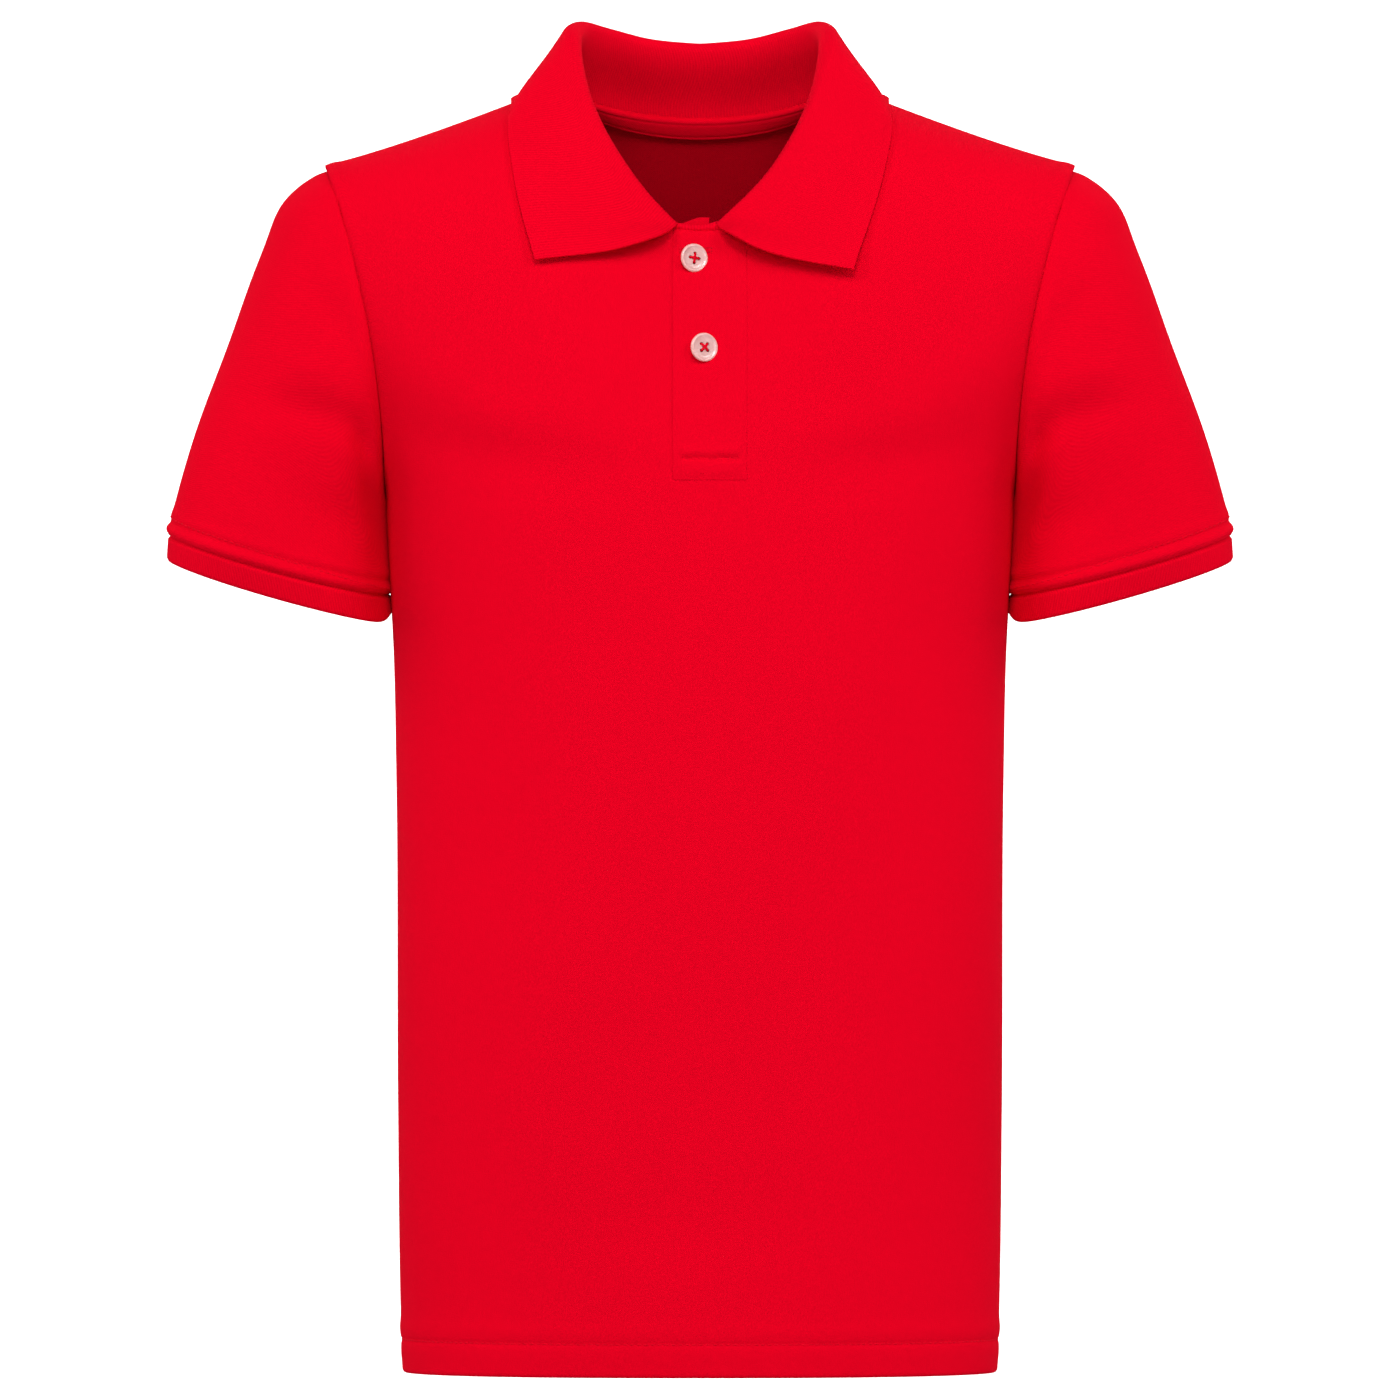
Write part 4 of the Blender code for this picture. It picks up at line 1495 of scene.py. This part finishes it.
    def grid(self, ground: dict, tree: BVHTree) -> np.ndarray:
        """Work out the collar's surface, clear of what lies below it.

        Args:
            ground: The two panels' surfaces by face.
            tree: Search tree of everything below the leaf.

        Returns:
            The grid, a row for each section round the neck.
        """
        table = np.array(self.sections)
        angles = table[:, 0]
        first = angles[0]
        around = np.linspace(first, 360.0 - first, self.stations)
        left = around > 180.0
        near = np.minimum(around, 360.0 - around)
        rows = through(near, angles, table)
        shift = (1.0 - blend(near, *self.tip_fade)) * left
        pull = (1.0 - blend(near, *self.end_fade)) * left
        rows[:, 1] += self.end_shift[0] * pull
        edges = np.array([self.edge(ground, r[5] + self.tip_shift[0] * s,
                                    r[6] + self.tip_shift[1] * s, a, 1 if k else -1)
                          for r, s, a, k in zip(rows, shift, near, left)])
        for _ in range(self.edge_passes):
            edges[1:-1] = edges[1:-1] * 0.5 + (edges[:-2] + edges[2:]) * 0.25
        sections = []
        for row, a, k, more, edge in zip(rows, near, left, pull, edges):
            ahead = through(np.array([min(a + 1.0, 180.0)]), angles, table)[0][1:3]
            behind = through(np.array([max(a - 1.0, first)]), angles, table)[0][1:3]
            way = unit(ahead - behind)
            out = np.array([way[1], -way[0], 0.0]) if a < 179.5 else np.array([0.0, 1.0, 0.0])
            points = self.section(a + self.end_shift[1] * more, row[1:4], row[4], edge, out)
            sections.append(points * np.array([1.0 if k else -1.0, 1.0, 1.0]))
        return self.settle(np.array(sections), near - first, left, tree)

    def settle(self, points: np.ndarray, from_end: np.ndarray, left: np.ndarray,
               tree: BVHTree) -> np.ndarray:
        """Let the leaf hang and swell at its front, clear of what lies below it.

        Args:
            points: The sections.
            from_end: Each section's angle from the collar's end.
            left: Whether each lies on the wearer's left.
            tree: Search tree of everything below the leaf.

        Returns:
            The collar's grid.
        """
        leaf, crown = self.leaf_start, self.stand_steps - 1
        along = np.linspace(0.0, 1.0, points.shape[1] - leaf)
        full = blend(along, 0.0, self.full_from)
        belly, stand_off, even = (np.where(left, pair[1], pair[0]) for pair in
                                  (self.belly, self.stand_off, self.stand_off_even))
        bow = belly * (1.0 - blend(from_end, 0.0, self.belly_reach))
        points[:, leaf:, 2] -= bow[:, None] * full * (1.0 - along ** 3)
        stand = (stand_off * bump(from_end, 0.0, self.stand_off_reach))[:, None]
        even = even[:, None]
        away = np.zeros(points.shape[:2])
        arch = bump(along, *self.stand_off_place)
        away[:, leaf:] = stand * (even + (1.0 - even) * arch) * full
        away[:, leaf:] -= self.edge_press * bump(along, 1.0, self.edge_width)
        for _ in range(self.settle_passes):
            self.lift(points, tree, away)
            mean = points.copy()
            mean[1:-1] = points[1:-1] * 0.5 + (points[:-2] + points[2:]) * 0.25
            points[:, crown:] = mean[:, crown:]
            mean = points.copy()
            mean[:, 1:-1] = points[:, 1:-1] * 0.5 + (points[:, :-2] + points[:, 2:]) * 0.25
            points[:, leaf + 2:-1] = mean[:, leaf + 2:-1]
        self.lift(points, tree, away)
        return points

    def lift(self, points: np.ndarray, tree: BVHTree, away: np.ndarray) -> None:
        """Move the fold and the leaf out to their clearance.

        Args:
            points: The collar's grid.
            tree: Search tree of everything below the leaf.
            away: How much further each point stands off.
        """
        for row, more in zip(points, away):
            for k in range(self.stand_steps + 1, len(row)):
                need = self.clearance + self.wall + more[k]
                place, normal, _, _ = tree.find_nearest(Vector(row[k]))
                offset = Vector(row[k]) - place
                height = offset.dot(normal)
                aside = (offset - normal * height).length
                if height < need and aside < self.beside:
                    row[k] += np.array(normal) * (need - height)

    def build(self, wardrobe: Wardrobe, ground: dict, tree: BVHTree) -> bpy.types.Object:
        """Make the collar.

        Args:
            wardrobe: The finishes.
            ground: The two panels' surfaces by face.
            tree: Search tree of everything below the leaf.

        Returns:
            The piece.
        """
        points = self.grid(ground, tree)
        place = flat_place(points)[..., ::-1]
        obj = grid_object("collar_rib", points, place)
        wardrobe.wall(obj, self.wall)
        round_edges(obj, self.rounding)
        return wardrobe.dress(obj, wardrobe.rib, Slot.RIB, "collar")


def round_edges(obj: bpy.types.Object, width: float) -> None:
    """Round the sharp edges of a piece.

    Args:
        obj: The piece.
        width: How wide the rounding is, in millimetres.
    """
    mod = obj.modifiers.new("round", "BEVEL")
    mod.width = width * MM
    mod.segments = 3
    mod.limit_method = "ANGLE"
    mod.angle_limit = math.radians(50.0)
    mod.use_clamp_overlap = True


@dataclass(frozen=True)
class Placket:
    """The two bands of the front opening, the upper one boxed at its foot.

    Swells beside the band's long edges and about the box's seam give their distance from it,
    their width and their rise.
    """

    form: Form
    left: float = -11.0
    right: float = 19.6
    foot: float = -174.0
    lap: float = 1.0
    wall: float = 0.3
    box: float = -165.6
    lift: float = 0.62
    button_room: float = 1.0
    under_gap: float = 0.35
    below_neck: float = 0.4
    edge_width: float = 2.4
    foot_width: float = 2.2
    box_fade: tuple = (1.5, 4.0)
    stitch_margin: int = 8
    top_grid: tuple = (56, 190)
    under_grid: tuple = (24, 100)
    side_swells: tuple = ((0.0, 2.4, -0.62), (5.5, 2.6, 0.10))
    box_swells: tuple = ((0.0, 1.2, -0.85), (3.4, 2.2, 0.75), (-4.5, 2.4, 0.25))
    cut: tuple = (0.034, 0.13)

    def grid(self, ground: Ground, left: float, right: float, foot: float, lift: float,
             cols: int, rows: int) -> tuple[np.ndarray, np.ndarray]:
        """Work out a band on the front panel, and its normals.

        Args:
            ground: The front panel's surface.
            left: The band's left edge.
            right: Its right edge.
            foot: Its lower end.
            lift: How far it lies above the panel.
            cols: Columns of the grid.
            rows: Rows of the grid.

        Returns:
            Points and unit normals.
        """
        x = np.repeat(np.linspace(left, right, cols)[None, :], rows, axis=0)
        top = self.form.top_edge(x[0], Face.FRONT)[1] - self.below_neck
        z = foot + (top[None, :] - foot) * np.linspace(0.0, 1.0, rows)[:, None]
        points = ground.at(x, z)
        normals = grid_normals(points)
        return points + normals * lift, normals

    def build(self, wardrobe: Wardrobe, ground: Ground, threads: Threads) -> tuple:
        """Make both bands.

        Args:
            wardrobe: The finishes.
            ground: The front panel's surface.
            threads: Where the stitches go.

        Returns:
            The upper and the under band.
        """
        points, normals = self.grid(ground, self.left - self.lap, self.right + self.lap,
                                    self.foot - self.lap, self.lift, *self.top_grid)
        x, z = points[..., 0], points[..., 2]
        edge = np.minimum(x - x.min(axis=1, keepdims=True), x.max(axis=1, keepdims=True) - x)
        rise = bells(edge, self.side_swells)
        at_foot = bump(z, z.min(), self.foot_width)
        rise -= self.lift * at_foot * (1.0 - bump(edge, 0.0, self.edge_width))
        near, far = self.box_fade
        inside = blend(x, self.left + near, self.left + far) * (
            1.0 - blend(x, self.right - far, self.right - near))
        rise += bells(z - self.box, self.box_swells) * inside
        shaped = points + normals * rise[..., None]
        top = grid_object("placket_top_cloth", shaped, flat_place(points))
        wardrobe.wall(top, self.wall)
        wardrobe.dress(top, wardrobe.pique, Slot.CLOTH, "placket_top")
        row = int(np.abs(z[:, self.top_grid[0] // 2] - self.box).argmin())
        seam = slice(self.stitch_margin, -self.stitch_margin)
        threads.run(shaped[row, seam], normals[row, seam], sink=0.2)
        gap = self.under_gap
        under, _ = self.grid(ground, self.left + gap, self.right - gap, self.foot + gap, 0.0,
                             *self.under_grid)
        low = grid_object("placket_under_cloth", under, flat_place(under))
        wardrobe.wall(low, self.wall)
        wardrobe.dress(low, wardrobe.pique, Slot.CLOTH, "placket_under")
        return top, low


@dataclass(frozen=True)
class NeckPoint:
    """Where the collar's ends meet: the stand's end over the placket, the band's corner behind.

    The corner gives its x and height at its start and at its end. The lean brings the stand's end
    forward and up, and the turn draws its top edge in, by a depth and a width.
    """

    form: Form
    left: float = -11.0
    right: float = 9.0
    height: float = 3.0
    wall: float = 1.2
    out: float = 2.1
    belly: float = 0.8
    lean: tuple = (0.6, 1.2)
    turn: tuple = (0.5, 0.2)
    sink: float = 2.0
    behind: float = 1.3
    rounding: float = 0.4
    corner: tuple = (-9.6, -62.4, 4.0, -59.6)
    corner_slope: float = 0.75
    columns: int = 41
    corner_columns: int = 31
    rows: int = 15

    def build(self, wardrobe: Wardrobe) -> tuple:
        """Make the stand's end and the band's corner.

        Args:
            wardrobe: The finishes.

        Returns:
            Both pieces.
        """
        x = np.linspace(self.left, self.right, self.columns)
        y, z = self.form.top_edge(x, Face.FRONT)
        share = np.linspace(0.0, 1.0, self.rows)[:, None]
        lean = blend(x, 0.0, self.right)[None, :]
        forward, up = self.lean
        depth, width = self.turn
        out = self.out + self.belly * np.sin(np.pi * share) + forward * lean
        out -= depth * bump(share, 1.0, width)
        height = z - self.sink + share * (self.height + up * lean)
        rows = np.stack([x + 0.0 * share, y - out, height], -1)
        stand = grid_object("collar_end_rib", rows, flat_place(rows))
        wardrobe.wall(stand, self.wall)
        round_edges(stand, self.rounding)
        wardrobe.dress(stand, wardrobe.rib, Slot.RIB)
        x0, z0, x1, z1 = self.corner
        x = np.linspace(x0, x1, self.corner_columns)
        y, z = self.form.top_edge(x, Face.FRONT)
        top = z0 + (z1 - z0) * blend(x, x0, x0 + self.corner_slope * (x1 - x0))
        rows = np.stack([x + 0.0 * share, y + self.behind + 0.0 * share, z + (top - z) * share],
                        -1)
        corner = grid_object("placket_corner_cloth", rows, flat_place(rows))
        wardrobe.wall(corner, self.wall)
        round_edges(corner, self.rounding)
        wardrobe.dress(corner, wardrobe.pique, Slot.CLOTH)
        return stand, corner


@dataclass(frozen=True)
class NeckTape:
    """The tape over the back neck seam, inside, with a row of stitches near each edge.

    It reaches to an angle round the neck. Its grooves give their place across it, their width
    and their depth.
    """

    form: Form
    reach: float = 72.0
    width: float = 8.5
    rise: float = 1.0
    inset: float = 2.1
    wall: float = 0.7
    grooves: tuple = ((0.16, 0.07, -0.3), (0.86, 0.07, -0.3))
    stitch_rows: tuple = (2, 13)
    columns: int = 91
    rows: int = 15
    search: tuple = (0.8, 1.0, 121)
    cut: tuple = (0.15, 0.0105)

    def build(self, wardrobe: Wardrobe, threads: Threads) -> bpy.types.Object:
        """Make the tape.

        Args:
            wardrobe: The finishes.
            threads: Where the stitches go.

        Returns:
            The piece.
        """
        angles = np.linspace(-self.reach, self.reach, self.columns)
        u = self.form.column(self.form.neck_half_width * np.sin(np.radians(angles)))
        t = np.linspace(*self.search)[::-1]
        lines = np.array([self.form.high(u, np.full(u.shape, v), Face.BACK) for v in t])
        run = runs(lines, 0)
        drops = np.linspace(self.width, 0.0, self.rows)
        grid = np.array([[np.interp(d, run[:, j], t) for j in range(len(u))] for d in drops])
        points = np.array([self.form.high(u, row, Face.BACK) for row in grid])
        normals = grid_normals(points)
        normals *= -np.sign(normals[self.rows // 2, self.columns // 2, 1])
        across = np.linspace(0.0, 1.0, self.rows)[:, None]
        swell = 0.25 * np.sin(np.pi * across) + bells(across, self.grooves)
        rows = points + normals * (self.inset + swell)[..., None]
        top = rows[-1:] - normals[-1:] * self.inset * 0.7 + np.array([0.0, 0.0, self.rise])
        rows = np.concatenate([rows, top])
        obj = grid_object("neck_tape_cloth", rows, flat_place(rows), flip=True)
        wardrobe.dress(obj, wardrobe.pique, Slot.CLOTH, "neck_tape")
        wardrobe.wall(obj, self.wall)
        for row in self.stitch_rows:
            threads.run(rows[row, 1:-1], normals[row, 1:-1], sink=0.02)
        return obj


@dataclass(frozen=True)
class Button:
    """A four-hole button sewn on with a cross of thread.

    It is turned by an angle of its holes, and swung by a yaw with a share of it kept upright. Its
    profile gives radius and height from the middle of its face round to the middle of its back.
    """

    number: int
    x: float
    z: float
    turn: float
    yaw: float = 30.0
    upright: float = 0.75
    pitch: float = 2.05
    hole: float = 0.78
    holes: int = 4
    thread: float = 0.62
    thread_height: float = 1.72
    thread_past: float = 0.8
    arches: tuple = (0.5, 0.8)
    patch: float = 3.0
    profile: tuple = (
        (0.0, 1.86), (2.2, 1.86), (3.6, 1.88), (4.4, 1.94), (4.8, 2.08), (5.15, 2.28),
        (5.45, 2.40), (5.8, 2.36), (6.08, 2.14), (6.28, 1.80), (6.35, 1.40), (6.22, 0.95),
        (5.9, 0.50), (5.3, 0.18), (4.2, 0.02), (2.0, 0.0), (0.0, 0.0),
    )
    steps: int = 72

    def build(self, wardrobe: Wardrobe, ground: Ground, lift: float) -> bpy.types.Object:
        """Make the button and its thread.

        Args:
            wardrobe: The finishes.
            ground: The front panel's surface.
            lift: How far its back lies above the panel.

        Returns:
            The button.
        """
        spread = np.array([-self.patch, 0.0, self.patch])
        patch = ground.at(*np.meshgrid(self.x + spread, self.z + spread))
        normal = Vector(grid_normals(patch)[1, 1])
        place = Vector(patch[1, 1]) + normal * lift
        facing = Matrix.Rotation(math.radians(self.yaw), 3, "Z") @ Vector((0.0, -1.0, 0.0))
        axis = normal.lerp(facing, self.upright).normalized()
        across = Vector((0.0, 0.0, 1.0)).cross(axis).normalized()
        turn = Matrix((across, axis.cross(across), axis)).transposed()
        at = Matrix.Translation(place * MM) @ turn.to_4x4()
        obj = self.turned(at)
        wardrobe.dress(obj, wardrobe.pearl, Slot.BUTTON, "button_%d" % self.number)
        threads = Threads("button_%d_thread" % self.number)
        axes = np.array(turn)
        for k, arch in enumerate(self.arches):
            a = math.radians(self.turn + 90.0 * k)
            way = axes @ np.array([math.cos(a), math.sin(a), 0.0])
            mid = np.array(place) + axes[:, 2] * self.thread_height
            threads.stitch(mid, way, axes[:, 2], 2.0 * self.pitch + self.thread_past,
                           self.thread, arch)
        threads.build(wardrobe, Slot.BUTTON)
        return obj

    def turned(self, at: Matrix) -> bpy.types.Object:
        """Turn the button and cut its holes.

        Args:
            at: Where it lies.

        Returns:
            The button, in place.
        """
        ring = np.arange(self.steps) * math.tau / self.steps
        verts, faces = [(0.0, 0.0, self.profile[0][1])], []
        for r, h in self.profile[1:-1]:
            verts += [(r * math.cos(a), r * math.sin(a), h) for a in ring]
        verts.append((0.0, 0.0, 0.0))
        n, last = self.steps, len(verts) - 1
        for k in range(n):
            m = (k + 1) % n
            faces.append((0, 1 + k, 1 + m))
            for b in range(len(self.profile) - 3):
                p, q = 1 + b * n, 1 + (b + 1) * n
                faces.append((p + k, q + k, q + m, p + m))
            faces.append((last, last - n + m, last - n + k))
        mesh = bpy.data.meshes.new("button")
        mesh.from_pydata([tuple(c * MM for c in v) for v in verts], [], faces)
        obj = in_scene("button_%d_shell" % self.number, mesh)
        cutters = []
        for k in range(self.holes):
            a = math.radians(self.turn) + math.tau * k / self.holes
            bpy.ops.mesh.primitive_cylinder_add(
                vertices=20, radius=self.hole * MM, depth=8.0 * MM,
                location=(math.cos(a) * self.pitch * MM, math.sin(a) * self.pitch * MM, 0.0))
            cutter = bpy.context.object
            cut = obj.modifiers.new("hole", "BOOLEAN")
            cut.solver = "EXACT"
            cut.object = cutter
            cutters.append(cutter)
        shape = bpy.data.meshes.new_from_object(
            obj.evaluated_get(bpy.context.evaluated_depsgraph_get()))
        obj.modifiers.clear()
        obj.data = shape
        for cutter in cutters:
            bpy.data.objects.remove(cutter)
        shape.shade_smooth()
        shape.set_sharp_from_angle(angle=math.radians(40.0))
        obj.matrix_world = at
        return obj


@dataclass(frozen=True)
class Buttonhole:
    """A worked buttonhole: two dense rows of thread along a slit."""

    x: float
    z: float
    half: float = 7.2
    gap: float = 0.2
    step: float = 0.42
    reach: float = 0.55
    length: float = 1.3
    thread: float = 0.22
    arch: float = 0.16

    def build(self, threads: Threads, ground: Ground, lift: float) -> None:
        """Add the buttonhole's thread to the upper band.

        Args:
            threads: Where the stitches go.
            ground: The front panel's surface.
            lift: How far the band lies above the panel.
        """
        across = np.arange(-self.half, self.half, self.step)
        for side in (-1.0, 1.0):
            x = self.x + across
            z = np.full(x.shape, self.z + side * (self.gap + self.reach))
            grid = ground.at(np.stack([x, x]), np.stack([z - 0.5, z + 0.5]))
            normals = grid_normals(grid)[0]
            points = grid.mean(axis=0) + normals * (lift + 0.05)
            for p, n in zip(points, normals):
                up = unit(np.array([0.0, 0.0, 1.0]) - n * n[2])
                threads.stitch(p, up, n, self.length, self.thread, self.arch)


@dataclass(frozen=True)
class Studio:
    """White paper, soft lights and the photograph's long lens.

    Scale is a pixel's size on the shirt in metres, and the row and the middle are the picture's.
    """

    scale: float = 0.00044
    pixels: int = 1400
    middle: tuple = (700.0, 700.0)
    neck_row: float = 85.0
    distance: float = 9.0
    sensor: float = 36.0
    floor_z: float = -1.05
    ambient: float = 0.10
    shirt: tuple = (0.0, 0.0, -0.27)
    neck: tuple = (0.0, 0.0, -0.1)
    backdrop: tuple = (0.0, 13.0, -0.3)

    def build(self) -> None:
        """Make the camera, the lights and the floor."""
        width = self.scale * self.pixels
        camera = bpy.data.cameras.new("camera")
        camera.sensor_width = self.sensor
        camera.lens = self.sensor * self.distance / width
        camera.clip_end = 100.0
        obj = in_scene("camera", camera)
        height = -(self.middle[1] - self.neck_row) * self.scale
        across = (self.middle[0] - self.pixels / 2.0) * self.scale
        obj.location = (across, -self.distance, height)
        obj.rotation_euler = (math.radians(90.0), 0.0, 0.0)
        bpy.context.scene.camera = obj
        bpy.context.scene.view_settings.view_transform = "Standard"
        self.light("key", (0.0, -2.5, 1.9), self.shirt, 1.1, 54.0)
        self.light("fill", (0.0, -3.6, -0.05), self.neck, 0.8, 17.0)
        for side, name in ((-1.0, "left"), (1.0, "right")):
            self.light("front_" + name, (side * 2.2, -2.2, 1.8), self.shirt, 1.2, 34.0)
            self.light("side_" + name, (side * 2.8, 0.6, 0.8), self.shirt, 1.4, 34.0)
            self.light("back_" + name, (side * 1.4, 3.0, 1.6), self.shirt, 1.2, 26.0)
            self.light("wall_" + name, (side * 2.0, 10.8, 1.2), self.backdrop, 1.4, 170.0)
        self.world()
        self.floor()

    def light(self, name: str, place: tuple, aim: tuple, size: float, power: float) -> None:
        """Add a square soft light.

        Args:
            name: Its name.
            place: Where it stands.
            aim: What it looks at.
            size: Its side in metres.
            power: Its power in watts.
        """
        data = bpy.data.lights.new(name, "AREA")
        data.size = size
        data.energy = power
        obj = in_scene(name, data)
        obj.location = place
        way = Vector(aim) - Vector(place)
        obj.rotation_euler = way.to_track_quat("-Z", "Y").to_euler()

    def world(self) -> None:
        """Light the room evenly in white."""
        world = bpy.data.worlds.new("studio")
        bpy.context.scene.world = world
        world.use_nodes = True
        back = world.node_tree.nodes["Background"]
        back.inputs["Color"].default_value = (1.0, 1.0, 1.0, 1.0)
        back.inputs["Strength"].default_value = self.ambient

    def floor(self) -> None:
        """Lay white paper below the shirt and up behind it."""
        run = [(-4.0, 0.0), (12.0, 0.0)]
        run += [(12.0 + math.sin(a), 1.0 - math.cos(a)) for a in np.radians(range(10, 91, 10))]
        run.append((13.0, 5.0))
        verts = [(x, y, self.floor_z + z) for y, z in run for x in (-3.0, 3.0)]
        faces = [(2 * i, 2 * i + 1, 2 * i + 3, 2 * i + 2) for i in range(len(run) - 1)]
        mesh = bpy.data.meshes.new("paper")
        mesh.from_pydata(verts, [], faces)
        mesh.shade_smooth()
        obj = in_scene("paper", mesh)
        obj.data.materials.append(Paper().build("white_paper"))


# A fold's numbers are its start's x and z, its end's x and z, its rise, width, tail and sag.
FRONT_FOLDS = (
    Fold(142.0, -101.0, 94.0, -146.0, 1.5, 13.0, 0.7, 4.0),
    Fold(136.0, -154.0, 40.0, -172.0, -1.7, 12.0, 0.7, 3.0),
    Fold(92.0, -146.0, 26.0, -154.0, 0.9, 10.0, 0.6),
    Fold(-143.0, -102.0, -92.0, -147.0, 1.6, 13.0, 0.7, -4.0),
    Fold(-136.0, -152.0, -34.0, -173.0, -1.8, 12.0, 0.7, -3.0),
    Fold(-96.0, -144.0, -30.0, -153.0, 0.9, 10.0, 0.6),
    Fold(-112.0, -230.0, -120.0, -420.0, 1.2, 14.0, 0.7),
    Fold(108.0, -250.0, 118.0, -400.0, 1.0, 14.0, 0.7),
    Fold(-66.0, -498.0, 60.0, -502.0, -2.0, 24.0),
)
BACK_FOLDS = (
    Fold(136.0, -128.0, 58.0, -186.0, -3.6, 12.0, 0.6, 4.0),
    Fold(-134.0, -134.0, -52.0, -182.0, -3.4, 12.0, 0.6, -4.0),
    Fold(140.0, -96.0, 84.0, -138.0, 2.4, 12.0, 0.6),
    Fold(-142.0, -98.0, -90.0, -134.0, 2.2, 12.0, 0.6),
    Fold(58.0, -215.0, 70.0, -440.0, 3.8, 14.0, 0.5),
    Fold(-46.0, -225.0, -64.0, -480.0, 4.2, 15.0, 0.5),
    Fold(6.0, -250.0, -4.0, -500.0, -3.4, 15.0, 0.6),
    Fold(-70.0, -505.0, 54.0, -498.0, -2.0, 20.0),
)
SLEEVE_FRONT_FOLDS = (
    Fold(169.0, -90.0, 147.0, -120.0, -1.6, 8.0),
    Fold(193.0, -139.0, 144.0, -151.0, -2.0, 8.0, 1.4),
    Fold(178.0, -122.0, 158.0, -132.0, 1.4, 8.0),
    Fold(151.0, -152.0, 142.0, -166.0, -3.6, 5.5, 1.0),
    Fold(148.0, -170.0, 141.0, -190.0, -2.6, 4.5, 1.0),
    Fold(172.0, -184.0, 145.0, -198.0, -2.2, 12.0, 1.2),
)
SLEEVE_BACK_FOLDS = (
    Fold(172.0, -92.0, 148.0, -124.0, -2.4, 10.0),
    Fold(196.0, -136.0, 144.0, -152.0, -2.6, 10.0, 1.2),
    Fold(190.0, -112.0, 160.0, -140.0, 1.8, 9.0),
)


def tree_of(objects: Iterable[bpy.types.Object]) -> BVHTree:
    """Make a search tree of some pieces' outer surfaces.

    Args:
        objects: The pieces.

    Returns:
        The tree, in millimetres.
    """
    verts, faces = [], []
    for obj in objects:
        start = len(verts)
        verts += [v.co / MM for v in obj.data.vertices]
        faces += [[start + i for i in p.vertices] for p in obj.data.polygons]
    return BVHTree.FromPolygons(verts, faces)


def sheet(obj: bpy.types.Object, cut: tuple, share: float) -> None:
    """Log a piece's area beside the area of the share of a rectangle it is cut from.

    Args:
        obj: The piece.
        cut: The rectangle's width and length in metres.
        share: How much of it the piece takes.
    """
    made = sum(p.area for p in obj.data.polygons)
    LOG.info("%s: %.4f square metres made, %.4f cut", obj.name, made, cut[0] * cut[1] * share)


def main() -> None:
    """Build the shirt and its studio."""
    wardrobe = Wardrobe.stocked()
    form = Form()
    placket = Placket(form)
    threads = Threads("seam_stitches")
    hem_threads = Threads("hem_stitches")
    front = Panel(form, Face.FRONT, FRONT_FOLDS, slit=(placket.left, placket.right))
    back = Panel(form, Face.BACK, BACK_FOLDS)
    ground = {panel.face: Ground(panel.surface[0], panel.face) for panel in (front, back)}
    front_piece, back_piece = front.build(wardrobe), back.build(wardrobe)
    for panel in (front, back):
        panel.hem_stitches(hem_threads)
    arms = [Arm(form, side, SLEEVE_FRONT_FOLDS, SLEEVE_BACK_FOLDS) for side in Side]
    arm_pieces = [arm.build(wardrobe, threads) for arm in arms]
    top, under = placket.build(wardrobe, ground[Face.FRONT], threads)
    below = tree_of((front_piece, back_piece, top))
    collar = Collar(form)
    collar_piece = collar.build(wardrobe, ground, below)
    neck_point = NeckPoint(form).build(wardrobe)
    tape = NeckTape(form)
    tape_piece = tape.build(wardrobe, threads)
    lift = placket.lift + placket.button_room
    for button in (Button(1, -3.1, -78.7, 80.0), Button(2, 1.3, -117.6, 45.0)):
        button.build(wardrobe, ground[Face.FRONT], lift)
    Buttonhole(-1.8, -74.4).build(threads, ground[Face.FRONT], placket.lift)
    seams = threads.build(wardrobe)
    hem = hem_threads.build(wardrobe)
    sheet(front_piece, front.cut, 0.86)
    sheet(back_piece, back.cut, 0.90)
    for arm, (sleeve_piece, cuff_piece) in zip(arms, arm_pieces):
        sheet(sleeve_piece, arm.cut, 0.50)
        sheet(cuff_piece, arm.cuff_cut, 1.0)
    sheet(collar_piece, collar.cut, 1.0)
    sheet(top, placket.cut, 1.0)
    sheet(under, placket.cut, 1.0)
    sheet(tape_piece, tape.cut, 1.0)
    Studio().build()


if __name__ == "__main__":
    logging.basicConfig(level=logging.INFO, format="%(name)s: %(message)s")
    main()
